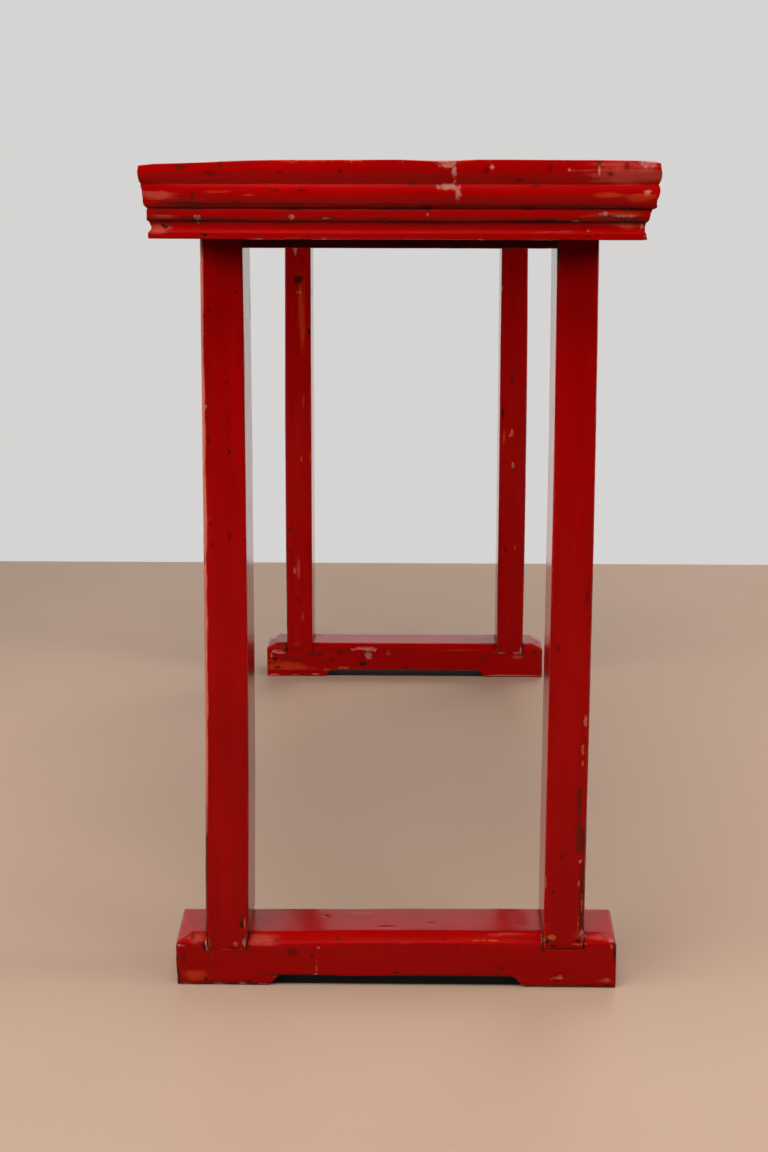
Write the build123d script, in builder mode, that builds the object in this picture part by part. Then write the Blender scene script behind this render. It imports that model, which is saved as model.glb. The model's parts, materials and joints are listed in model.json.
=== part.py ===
from build123d import *
import os

# Red lacquered altar table, in millimetres.
# +Z is up, +X runs along the top, the front is -Y and the origin is on the floor under the middle.

# ---- overall sizes ----
table_height = 850.0
top_length = 1610.0
top_depth = 487.0
end_overhang = 93.0  # from the end of the top to the outer face of the legs
side_overhang = 49.5  # from the long side of the top to the head of the legs

# ---- mitred top frame ----
frame_width = 95.0
frame_thickness = 43.0
top_edge_round = 1.5

# ---- moulded edge, as setbacks from the fascia and heights ----
fascia_height = 12.0
cove_height = 10.0
cove_foot_setback = 2.4
cove_hollow = 1.1
round_foot_setback = 8.0
round_bulge = 4.2
bead_height = 13.0
bead_head_setback = 9.2
bead_foot_setback = 11.6
bead_bulge = 2.4
base_height = 16.0
flare_head_setback = 12.4
flare_height = 10.5
flare_hollow = 1.6
lip_setback = 10.5
lip_round = 1.5

# ---- floating panel ----
panel_thickness = 16.0
board_count = 3
board_tongue_length = 8.0
board_tongue_thickness = 6.0
panel_gap = 0.5  # room for the panel to swell, on each side
board_gap = 0.3

# ---- cross battens under the panel ----
batten_count = 4
batten_width = 36.0
batten_key_height = 5.0
batten_key_flare = 2.0  # how much the dovetail key widens on each side
batten_key_width = 24.0
batten_tenon_length = 12.0
batten_tenon_thickness = 10.0
batten_tenon_width = 26.0

# ---- mitre tenons at the corners of the top ----
mitre_tenon_width = 40.0
mitre_tenon_thickness = 12.0
mitre_tenon_cheek = 8.0  # wood left under the tenon
mitre_tenon_inset = 15.0  # from the inner edge of the frame
mitre_tenon_cover = 20.0  # wood left beyond the tenon's end
mitre_pin_radius = 3.0
mitre_pin_length = 26.0

# ---- legs ----
leg_depth = 92.0
leg_width_head = 40.5
leg_width_foot = 43.0
leg_outer_round = 3.5
leg_inner_round = 1.5
head_tenon_length = 60.0
head_tenon_thickness = 16.0
head_tenon_height = 25.0
foot_tenon_thickness = 18.0
foot_tenon_width = 30.0
foot_tenon_spacing = 40.0
foot_tenon_recess = 0.5  # the tenon stops this far above the floor
wedge_height = 26.0
wedge_mouth = 3.0
wedge_tip = 1.0

# ---- rails under the top ----
rail_height = 40.5
head_rail_thickness = 30.0
under_rail_thickness = 26.0
rail_tenon_thickness = 12.0
rail_tenon_shoulder = 6.0
head_rail_tenon_length = 28.0
under_rail_tenon_length = 40.0

# ---- foot rails ----
foot_overhang = 34.0  # from the leg's outer face to the end of the foot rail
foot_height = 56.0
foot_chamfer_run = 12.0
foot_chamfer_drop = 9.7
foot_end_round = 2.5
leg_housing_depth = 14.0
pad_length = 95.0
arch_height = 11.0
arch_shoulder_run = 14.0  # length of the double curve from pad to arch

# ---- pins that hold the strips up to the frame ----
moulding_pin_radius = 2.0
moulding_pin_bite = 15.0  # how far a pin goes up into the top frame
long_side_pin_count = 5
short_side_pin_count = 2
moulding_pin_end_margin = 110.0

# ---- fits ----
joint_gap = 0.15  # on each side of a tenon, tongue or key
pin_gap = 0.05

# ---- places worked out from the sizes ----
frame_bottom = table_height - frame_thickness
bead_bottom = frame_bottom - bead_height
moulding_bottom = bead_bottom - base_height
inner_x = top_length / 2 - frame_width
inner_y = top_depth / 2 - frame_width
panel_bottom = table_height - panel_thickness
tongue_middle = table_height - panel_thickness / 2
leg_outer_x = top_length / 2 - end_overhang
leg_inner_x = leg_outer_x - leg_depth
leg_middle_x = (leg_outer_x + leg_inner_x) / 2
leg_inner_y = top_depth / 2 - side_overhang - leg_width_head
leg_head_y = leg_inner_y + leg_width_head / 2
leg_foot_y = leg_inner_y + leg_width_foot / 2
leg_seat = foot_height - leg_housing_depth
rail_bottom = frame_bottom - rail_height
leg_taper = (leg_width_foot - leg_width_head) / (frame_bottom - leg_seat)
leg_outer_y = leg_inner_y + leg_width_head + leg_taper * (frame_bottom - moulding_bottom)
strip_width = top_depth / 2 - leg_outer_y - joint_gap

FRONT = (0, -1, 0)
BACK = (0, 1, 0)
LEFT = (-1, 0, 0)
RIGHT = (1, 0, 0)
long_sides = {"front": FRONT, "back": BACK}
short_sides = {"left": LEFT, "right": RIGHT}
all_sides = long_sides | short_sides


def write(piece, name):
    """Label a finished piece and write it to its own file."""
    piece.part.label = name
    export_step(piece.part, f"parts/{name}.step")


def block(x, y, z, mode=Mode.ADD):
    """Add or cut a square block between (low, high) pairs along each axis."""
    with Locations((sum(x) / 2, sum(y) / 2, sum(z) / 2)):
        Box(x[1] - x[0], y[1] - y[0], z[1] - z[0], mode=mode)


def span(middle, width, gap=0.0):
    """A (low, high) pair about a middle, opened by a gap at both ends."""
    return (middle - width / 2 - gap, middle + width / 2 + gap)


def outward_half(outward):
    """Distance from the table's middle to the fascia on one side."""
    return top_length / 2 if outward in short_sides.values() else top_depth / 2


def along_half(outward):
    """Half the length of one side of the top."""
    return top_depth / 2 if outward in short_sides.values() else top_length / 2


def section_plane(outward):
    """Section plane of one side: its x runs outward and its y runs up."""
    return Plane(origin=(0, 0, 0), x_dir=outward, z_dir=Vector(outward).cross(Vector(0, 0, 1)))


def mitre(outward):
    """Cut both ends of the current moulding at 45 degrees through the corners of the top."""
    outer = Vector(outward) * outward_half(outward)
    along = Vector(outward).cross(Vector(0, 0, 1))
    for end in (along, along * -1):
        corner = outer + end * along_half(outward)
        split(bisect_by=Plane(origin=corner, z_dir=end - Vector(outward)), keep=Keep.BOTTOM)


# ---- mitred top frame ----
mitre_tenon_y = span(inner_y + mitre_tenon_inset + mitre_tenon_width / 2, mitre_tenon_width)
mitre_tenon_z = (
    frame_bottom + mitre_tenon_cheek,
    frame_bottom + mitre_tenon_cheek + mitre_tenon_thickness,
)
mitre_tenon_root = inner_x + mitre_tenon_inset
mitre_tenon_end = top_length / 2 - mitre_tenon_cover
mitre_pin_y = sum(mitre_tenon_y) / 2
mitre_pin_x = (inner_x + mitre_pin_y - inner_y + mitre_tenon_end) / 2
mitre_pin_places = [(sx * mitre_pin_x, sy * mitre_pin_y) for sx in (-1, 1) for sy in (-1, 1)]

head_tenon_top = frame_bottom + head_tenon_height
leg_places = [(sx * leg_middle_x, sy * leg_head_y) for sx in (-1, 1) for sy in (-1, 1)]

batten_pitch = 2 * inner_x / batten_count
batten_places = [-inner_x + batten_pitch * (i + 0.5) for i in range(batten_count)]
batten_tenon_z = span((frame_bottom + panel_bottom) / 2, batten_tenon_thickness)

pin_line = (strip_width + flare_head_setback) / 2  # setback of the row of moulding pins


def spaced(half_length, count):
    """Evenly spaced places along a side, kept a margin away from its corners."""
    reach = half_length - moulding_pin_end_margin
    return [reach * (2 * i / (count - 1) - 1) for i in range(count)]


long_pin_places = [
    (x, sy * (top_depth / 2 - pin_line))
    for x in spaced(top_length / 2, long_side_pin_count)
    for sy in (-1, 1)
]
short_pin_places = [
    (sx * (top_length / 2 - pin_line), y)
    for y in spaced(top_depth / 2, short_side_pin_count)
    for sx in (-1, 1)
]
moulding_pin_places = long_pin_places + short_pin_places
moulding_pin_top = frame_bottom + moulding_pin_bite


def drill_for_moulding_pins():
    """Bore the current piece wherever a moulding pin passes through it."""
    with Locations([(x, y, moulding_bottom) for x, y in moulding_pin_places]):
        Cylinder(
            moulding_pin_radius + pin_gap,
            moulding_pin_top + pin_gap - moulding_bottom,
            align=(Align.CENTER, Align.CENTER, Align.MIN),
            mode=Mode.SUBTRACT,
        )


def drill_for_mitre_pins():
    """Bore the current piece for the pins that lock the corner tenons."""
    with Locations([(x, y, frame_bottom) for x, y in mitre_pin_places]):
        Cylinder(
            mitre_pin_radius + pin_gap,
            mitre_pin_length + pin_gap,
            align=(Align.CENTER, Align.CENTER, Align.MIN),
            mode=Mode.SUBTRACT,
        )


def top_rail(outward):
    """One member of the top frame, moulded outside, ploughed inside and cut to its mitres."""
    fascia = outward_half(outward)
    inner = fascia - frame_width
    cove_head = table_height - fascia_height
    cove_foot = cove_head - cove_height
    with BuildPart() as rail:
        with BuildSketch(section_plane(outward)):
            with BuildLine():
                edge = Line((inner, table_height), (fascia - top_edge_round, table_height))
                arris = RadiusArc(edge @ 1, (fascia, table_height - top_edge_round), top_edge_round)
                face = Line(arris @ 1, (fascia, cove_head))
                cove = SagittaArc(face @ 1, (fascia - cove_foot_setback, cove_foot), -cove_hollow)
                torus = SagittaArc(cove @ 1, (fascia - round_foot_setback, frame_bottom), round_bulge)
                Polyline(torus @ 1, (inner, frame_bottom), (inner, table_height))
            make_face()
            groove_depth = board_tongue_length + panel_gap + joint_gap
            with Locations((inner + groove_depth / 2, tongue_middle)):
                Rectangle(groove_depth, board_tongue_thickness + 2 * joint_gap, mode=Mode.SUBTRACT)
        extrude(amount=along_half(outward), both=True)
        mitre(outward)
    return rail.part


for side, outward in long_sides.items():
    with BuildPart() as long_rail:
        add(top_rail(outward))
        facing = outward[1]
        across = tuple(sorted((facing * mitre_tenon_y[0], facing * mitre_tenon_y[1])))
        for end in (-1, 1):
            along = tuple(sorted((end * (mitre_tenon_root - mitre_tenon_thickness), end * mitre_tenon_end)))
            block(along, across, mitre_tenon_z)
        for x, y in leg_places:
            block(
                span(x, head_tenon_length, joint_gap),
                span(y, head_tenon_thickness, joint_gap),
                (frame_bottom, head_tenon_top + joint_gap),
                Mode.SUBTRACT,
            )
        for x in batten_places:
            block(
                span(x, batten_tenon_width, joint_gap),
                span(0, 2 * (inner_y + batten_tenon_length), joint_gap),
                (batten_tenon_z[0] - joint_gap, batten_tenon_z[1] + joint_gap),
                Mode.SUBTRACT,
            )
        drill_for_moulding_pins()
        drill_for_mitre_pins()
    write(long_rail, f"top_rail_{side}")

for side, outward in short_sides.items():
    with BuildPart() as short_rail:
        add(top_rail(outward))
        facing = outward[0]
        for end in (-1, 1):
            across = tuple(sorted((end * mitre_tenon_y[0], end * mitre_tenon_y[1])))
            along = tuple(sorted((facing * inner_x, facing * mitre_tenon_end)))
            block(
                (along[0] - joint_gap, along[1] + joint_gap),
                (across[0] - joint_gap, across[1] + joint_gap),
                (mitre_tenon_z[0] - joint_gap, mitre_tenon_z[1] + joint_gap),
                Mode.SUBTRACT,
            )
        drill_for_moulding_pins()
        drill_for_mitre_pins()
    write(short_rail, f"top_rail_{side}")

# ---- bead strip and base moulding, mitred round all four sides ----
for side, outward in all_sides.items():
    fascia = outward_half(outward)
    inner = fascia - strip_width
    with BuildPart() as bead_strip:
        with BuildSketch(section_plane(outward)):
            with BuildLine():
                head = Line((inner, frame_bottom), (fascia - bead_head_setback, frame_bottom))
                bead = SagittaArc(head @ 1, (fascia - bead_foot_setback, bead_bottom), bead_bulge)
                Polyline(bead @ 1, (inner, bead_bottom), (inner, frame_bottom))
            make_face()
        extrude(amount=along_half(outward), both=True)
        mitre(outward)
        drill_for_moulding_pins()
    write(bead_strip, f"bead_strip_{side}")

    with BuildPart() as base_moulding:
        with BuildSketch(section_plane(outward)):
            with BuildLine():
                lip_x = fascia - lip_setback
                lip_bottom = moulding_bottom + lip_round
                head = Line((inner, bead_bottom), (fascia - flare_head_setback, bead_bottom))
                flare = SagittaArc(head @ 1, (lip_x, bead_bottom - flare_height), -flare_hollow)
                lip = Line(flare @ 1, (lip_x, lip_bottom))
                corner = RadiusArc(lip @ 1, (lip_x - lip_round, moulding_bottom), lip_round)
                Polyline(corner @ 1, (inner, moulding_bottom), (inner, bead_bottom))
            make_face()
        extrude(amount=along_half(outward), both=True)
        mitre(outward)
        drill_for_moulding_pins()
    write(base_moulding, f"base_moulding_{side}")

# ---- pins through the moulded edge and the corner tenons ----
with BuildPart() as moulding_pins:
    with Locations([(x, y, moulding_bottom) for x, y in moulding_pin_places]):
        Cylinder(
            moulding_pin_radius,
            moulding_pin_top - moulding_bottom,
            align=(Align.CENTER, Align.CENTER, Align.MIN),
        )
write(moulding_pins, "moulding_pins")

with BuildPart() as mitre_pins:
    with Locations([(x, y, frame_bottom) for x, y in mitre_pin_places]):
        Cylinder(mitre_pin_radius, mitre_pin_length, align=(Align.CENTER, Align.CENTER, Align.MIN))
write(mitre_pins, "mitre_pins")

# ---- floating panel: boards tongued into each other and into the frame ----
field_x = inner_x - panel_gap
field_y = inner_y - panel_gap
board_pitch = (2 * field_y + board_gap) / board_count
board_width = board_pitch - board_gap
board_names = ["panel_board_front", "panel_board_middle", "panel_board_back"]
if board_count != len(board_names):
    board_names = [f"panel_board_{i + 1}" for i in range(board_count)]
tongue_z = span(tongue_middle, board_tongue_thickness)
key_top = panel_bottom + batten_key_height


def batten_key(x, gap):
    """Corners of a batten's dovetail key, seen along the batten, opened by a gap."""
    half_foot = batten_key_width / 2 - batten_key_flare + gap
    half_head = batten_key_width / 2 + gap
    return [
        (x - half_foot, panel_bottom),
        (x + half_foot, panel_bottom),
        (x + half_head, key_top + gap),
        (x - half_head, key_top + gap),
    ]


for i, name in enumerate(board_names):
    y_low = -field_y + i * board_pitch
    y_high = y_low + board_width
    is_first = i == 0
    is_last = i == board_count - 1
    with BuildPart() as board:
        block((-field_x, field_x), (y_low, y_high), (panel_bottom, table_height))
        block(
            (-field_x - board_tongue_length, field_x + board_tongue_length),
            (y_low, y_high),
            tongue_z,
        )
        tongue_high = y_high + board_tongue_length
        block((-field_x, field_x), (y_high, tongue_high), tongue_z)
        if is_first:
            block((-field_x, field_x), (y_low - board_tongue_length, y_low), tongue_z)
        else:
            block(
                (-field_x - board_tongue_length, field_x + board_tongue_length),
                (y_low, y_low + board_tongue_length + joint_gap - board_gap),
                (tongue_z[0] - joint_gap, tongue_z[1] + joint_gap),
                Mode.SUBTRACT,
            )
        for x in batten_places:
            with BuildSketch(Plane.XZ):
                Polygon(*batten_key(x, joint_gap), align=None)
            extrude(amount=top_depth, both=True, mode=Mode.SUBTRACT)
    write(board, name)

for i, x in enumerate(batten_places):
    with BuildPart() as batten:
        block(span(x, batten_width), (-inner_y, inner_y), (frame_bottom, panel_bottom))
        with BuildSketch(Plane.XZ):
            Polygon(*batten_key(x, 0), align=None)
        extrude(amount=field_y, both=True)
        block(
            span(x, batten_tenon_width),
            span(0, 2 * (inner_y + batten_tenon_length)),
            batten_tenon_z,
        )
    write(batten, f"panel_batten_{i + 1}")

# ---- legs ----
foot_tenon_places = [
    (leg_middle_x + side * foot_tenon_spacing / 2, leg_foot_y) for side in (-1, 1)
]
rail_tenon_z = (rail_bottom + rail_tenon_shoulder, frame_bottom - rail_tenon_shoulder)
head_rail_middle_x = leg_outer_x - head_rail_thickness / 2


def wedge_outline(y):
    """Corners of a tapered wedge, thick at the floor side."""
    return [
        (y - wedge_mouth / 2, foot_tenon_recess),
        (y + wedge_mouth / 2, foot_tenon_recess),
        (y + wedge_tip / 2, foot_tenon_recess + wedge_height),
        (y - wedge_tip / 2, foot_tenon_recess + wedge_height),
    ]


with BuildPart() as leg_back_right:
    with BuildSketch(Plane.YZ.offset(leg_inner_x)):
        Polygon(
            (leg_inner_y, leg_seat),
            (leg_inner_y + leg_width_foot, leg_seat),
            (leg_inner_y + leg_width_head, frame_bottom),
            (leg_inner_y, frame_bottom),
            align=None,
        )
    extrude(amount=leg_depth)
    long_edges = edges().sort_by(SortBy.LENGTH)[-4:].sort_by(Axis.Y)
    fillet(long_edges[-2:], leg_outer_round)
    long_edges = edges().filter_by(Axis.Z).sort_by(Axis.Y)[:2]
    fillet(long_edges, leg_inner_round)
    block(
        span(leg_middle_x, head_tenon_length),
        span(leg_head_y, head_tenon_thickness),
        (frame_bottom, head_tenon_top),
    )
    for x, y in foot_tenon_places:
        block(
            span(x, foot_tenon_thickness),
            span(y, foot_tenon_width),
            (foot_tenon_recess, leg_seat),
        )
        with BuildSketch(Plane.YZ.offset(x)):
            Polygon(*wedge_outline(y), align=None)
        extrude(amount=foot_tenon_thickness / 2, both=True, mode=Mode.SUBTRACT)
    block(
        span(head_rail_middle_x, rail_tenon_thickness, joint_gap),
        (leg_inner_y, leg_inner_y + head_rail_tenon_length + joint_gap),
        (rail_tenon_z[0] - joint_gap, rail_tenon_z[1] + joint_gap),
        Mode.SUBTRACT,
    )
    block(
        (leg_inner_x, leg_inner_x + under_rail_tenon_length + joint_gap),
        span(leg_head_y, rail_tenon_thickness, joint_gap),
        (rail_tenon_z[0] - joint_gap, rail_tenon_z[1] + joint_gap),
        Mode.SUBTRACT,
    )
write(leg_back_right, "leg_back_right")

with BuildPart() as leg_front_right:
    mirror(leg_back_right.part, about=Plane.XZ)
write(leg_front_right, "leg_front_right")

with BuildPart() as leg_back_left:
    mirror(leg_back_right.part, about=Plane.YZ)
write(leg_back_left, "leg_back_left")

with BuildPart() as leg_front_left:
    mirror(leg_front_right.part, about=Plane.YZ)
write(leg_front_left, "leg_front_left")

# ---- wedges in the ends of the foot tenons ----
with BuildPart() as foot_wedges:
    for side_x in (-1, 1):
        for side_y in (-1, 1):
            for x, y in foot_tenon_places:
                with BuildSketch(Plane.YZ.offset(side_x * x)):
                    Polygon(*wedge_outline(side_y * y), align=None)
                extrude(amount=foot_tenon_thickness / 2, both=True)
write(foot_wedges, "foot_wedges")

# ---- rails under the top ----
for side, outward in short_sides.items():
    middle = outward[0] * head_rail_middle_x
    with BuildPart() as head_rail:
        block(
            span(middle, head_rail_thickness),
            (-leg_inner_y, leg_inner_y),
            (rail_bottom, frame_bottom),
        )
        block(
            span(middle, rail_tenon_thickness),
            span(0, 2 * (leg_inner_y + head_rail_tenon_length)),
            rail_tenon_z,
        )
    write(head_rail, f"head_rail_{side}")

for side, outward in long_sides.items():
    middle = outward[1] * leg_head_y
    with BuildPart() as under_rail:
        block(
            (-leg_inner_x, leg_inner_x),
            span(middle, under_rail_thickness),
            (rail_bottom, frame_bottom),
        )
        block(
            span(0, 2 * (leg_inner_x + under_rail_tenon_length)),
            span(middle, rail_tenon_thickness),
            rail_tenon_z,
        )
    write(under_rail, f"under_rail_{side}")

# ---- foot rails ----
for side, outward in short_sides.items():
    middle = outward[0] * leg_middle_x
    foot_end = leg_inner_y + leg_width_foot + foot_overhang
    pad_inner = foot_end - pad_length
    with BuildPart() as foot_rail:
        with BuildSketch(Plane.YZ.offset(middle)):
            with BuildLine():
                pad = Line((foot_end, 0), (pad_inner, 0))
                curve_middle = (pad_inner - arch_shoulder_run / 2, arch_height / 2)
                lower = TangentArc(pad @ 1, curve_middle, tangent=(-1, 0))
                arch_start = (pad_inner - arch_shoulder_run, arch_height)
                upper = TangentArc(lower @ 1, arch_start, tangent=lower % 1)
                Line(upper @ 1, (0, arch_height))
                Polyline(pad @ 0, (foot_end, foot_height), (0, foot_height))
                mirror(about=Plane.YZ)
            make_face()
        extrude(amount=leg_depth / 2, both=True)
        with BuildSketch(Plane.XZ):
            with BuildLine():
                half = leg_depth / 2
                shoulder = foot_height - foot_chamfer_drop
                flat = half - foot_chamfer_run
                Polyline(
                    (middle - half, 0),
                    (middle + half, 0),
                    (middle + half, shoulder),
                    (middle + flat, foot_height),
                    (middle - flat, foot_height),
                    (middle - half, shoulder),
                    close=True,
                )
            make_face()
        extrude(amount=top_depth, both=True, mode=Mode.INTERSECT)
        fillet(edges().filter_by(Axis.Z), foot_end_round)
        for side_y in (-1, 1):
            block(
                span(middle, leg_depth, joint_gap),
                span(side_y * leg_foot_y, leg_width_foot, joint_gap),
                (leg_seat, foot_height),
                Mode.SUBTRACT,
            )
            for x, y in foot_tenon_places:
                block(
                    span(outward[0] * x, foot_tenon_thickness, joint_gap),
                    span(side_y * y, foot_tenon_width, joint_gap),
                    (0, leg_seat),
                    Mode.SUBTRACT,
                )
    write(foot_rail, f"foot_rail_{side}")
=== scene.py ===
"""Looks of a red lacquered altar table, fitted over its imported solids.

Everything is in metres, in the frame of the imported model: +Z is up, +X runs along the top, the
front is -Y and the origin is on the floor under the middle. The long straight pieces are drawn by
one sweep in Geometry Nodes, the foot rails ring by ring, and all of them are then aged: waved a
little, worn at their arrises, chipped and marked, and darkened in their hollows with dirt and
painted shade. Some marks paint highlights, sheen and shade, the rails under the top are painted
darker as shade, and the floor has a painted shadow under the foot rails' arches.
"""

import functools
import itertools
import json
import logging
import math
from dataclasses import dataclass, field
from enum import Enum
from typing import Callable, Iterable

import bmesh
import bpy
import numpy as np
from mathutils import Euler, Matrix, Vector

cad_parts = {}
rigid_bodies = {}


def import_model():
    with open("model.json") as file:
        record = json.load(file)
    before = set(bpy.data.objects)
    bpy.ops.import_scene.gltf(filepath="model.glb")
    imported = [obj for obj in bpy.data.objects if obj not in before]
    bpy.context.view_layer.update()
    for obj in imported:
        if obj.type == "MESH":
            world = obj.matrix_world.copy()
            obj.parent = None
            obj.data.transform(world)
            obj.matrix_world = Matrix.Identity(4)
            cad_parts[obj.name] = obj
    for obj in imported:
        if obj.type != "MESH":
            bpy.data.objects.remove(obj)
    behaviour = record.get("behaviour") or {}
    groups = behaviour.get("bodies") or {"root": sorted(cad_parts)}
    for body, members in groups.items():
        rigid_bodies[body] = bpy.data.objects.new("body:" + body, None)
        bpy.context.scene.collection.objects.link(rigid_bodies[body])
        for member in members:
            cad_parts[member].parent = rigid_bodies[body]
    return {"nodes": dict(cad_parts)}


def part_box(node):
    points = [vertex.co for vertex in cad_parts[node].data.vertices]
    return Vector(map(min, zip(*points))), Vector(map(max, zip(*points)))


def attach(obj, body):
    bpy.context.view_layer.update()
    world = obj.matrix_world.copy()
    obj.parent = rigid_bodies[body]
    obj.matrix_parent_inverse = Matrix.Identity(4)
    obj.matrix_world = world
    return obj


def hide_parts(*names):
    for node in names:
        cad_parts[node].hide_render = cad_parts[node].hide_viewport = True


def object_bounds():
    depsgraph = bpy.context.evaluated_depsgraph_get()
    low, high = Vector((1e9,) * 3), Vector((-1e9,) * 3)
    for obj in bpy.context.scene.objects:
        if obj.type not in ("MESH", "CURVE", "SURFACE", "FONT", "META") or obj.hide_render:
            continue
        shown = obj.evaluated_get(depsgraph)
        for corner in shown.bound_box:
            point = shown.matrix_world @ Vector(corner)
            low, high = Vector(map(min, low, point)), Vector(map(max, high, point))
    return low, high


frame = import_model()
CAD_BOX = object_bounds()

Colour = tuple[float, float, float]
Point = tuple[float, float, float]

log = logging.getLogger("altar_table")

MM = 0.001
OPAQUE = 1.0
DRAWN_OUT = 0.07
DOUBLED = 0.01 * MM
EMPTY = 0.001 * MM


class Slot(Enum):
    """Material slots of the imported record."""

    MOULDING = "moulding_lacquer"
    PANEL = "panel_lacquer"
    FRAME = "frame_lacquer"
    BATTEN = "batten_wood"
    BAMBOO = "bamboo"
    WEDGE = "wedge_wood"


class Run(Enum):
    """Which way a straight piece runs; the value turns +X onto that way."""

    ALONG = (0.0, 0.0, 0.0)
    ACROSS = (0.0, 0.0, math.pi / 2)
    UPRIGHT = (0.0, -math.pi / 2, 0.0)


class Side(Enum):
    """A side of the top; the value turns +Y onto the way that the side faces."""

    BACK = 0.0
    LEFT = math.pi / 2
    FRONT = math.pi
    RIGHT = math.pi * 3 / 2

    @property
    def is_short(self) -> bool:
        """True at the two ends of the table."""
        return self in (Side.LEFT, Side.RIGHT)


class Grain(Enum):
    """The way a pattern is drawn out; the value is its scale on each axis."""

    X = (DRAWN_OUT, 1.0, 1.0)
    Y = (1.0, DRAWN_OUT, 1.0)
    Z = (1.0, 1.0, DRAWN_OUT)


class Edge(Enum):
    """What a corner of a section is: a raised arris, a hollow that keeps dirt and painted shade, or
    neither.
    """

    ARRIS = "to_arris"
    HOLLOW = "to_hollow"
    PLAIN = "plain"


class MarkKind(Enum):
    """What a mark on the lacquer shows; the value is the attribute that carries it."""

    THIN = "thin"
    # Paler, duller lacquer, and a painted pale pink sheen on the round near the front corner.
    HAZE = "haze"
    STAIN = "stain"
    DARK = "dark"
    PALE = "pale"
    BARE = "bare"
    # Dents and darker red smudges, and a band of painted shade under the round.
    DENT = "dent"
    # Rubbed spots, and a painted highlight along the outer arris of the front right leg.
    RUB = "rub"


# ---- node trees ----


class Value:
    """A number socket that can stand in arithmetic; each operation adds its Math node.

    Of two values, a.over(b) is the larger.
    """

    def __init__(self, tree: "NodeTree", socket: bpy.types.NodeSocket) -> None:
        """Wraps a socket of a tree."""
        self.tree = tree
        self.socket = socket

    @staticmethod
    def _sum(operation: str, is_swapped: bool = False) -> Callable[["Value", "Number"], "Value"]:
        """Makes the method of one operator.

        Args:
            operation: what the Math node does.
            is_swapped: whether the other number comes first.

        Returns:
            The method, which adds one Math node.
        """

        def join(own: "Value", other: "Number") -> "Value":
            """Works the two numbers out to one."""
            inputs = {0: other, 1: own} if is_swapped else {0: own, 1: other}
            return own.tree.value(own.tree.make("ShaderNodeMath", inputs, operation=operation))

        return join

    __add__, __radd__ = _sum("ADD"), _sum("ADD", True)
    __sub__, __rsub__ = _sum("SUBTRACT"), _sum("SUBTRACT", True)
    __mul__, __rmul__ = _sum("MULTIPLY"), _sum("MULTIPLY", True)
    __truediv__, over = _sum("DIVIDE"), _sum("MAXIMUM")

    def band(self, low: float, high: float) -> "Value":
        """Rises smoothly from 0 at low to 1 at high, or falls where low is the higher."""
        inputs = {"Value": self, "From Min": low, "From Max": high}
        node = self.tree.make("ShaderNodeMapRange", inputs, interpolation_type="SMOOTHSTEP")
        return self.tree.value(node)


Number = Value | float


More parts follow.
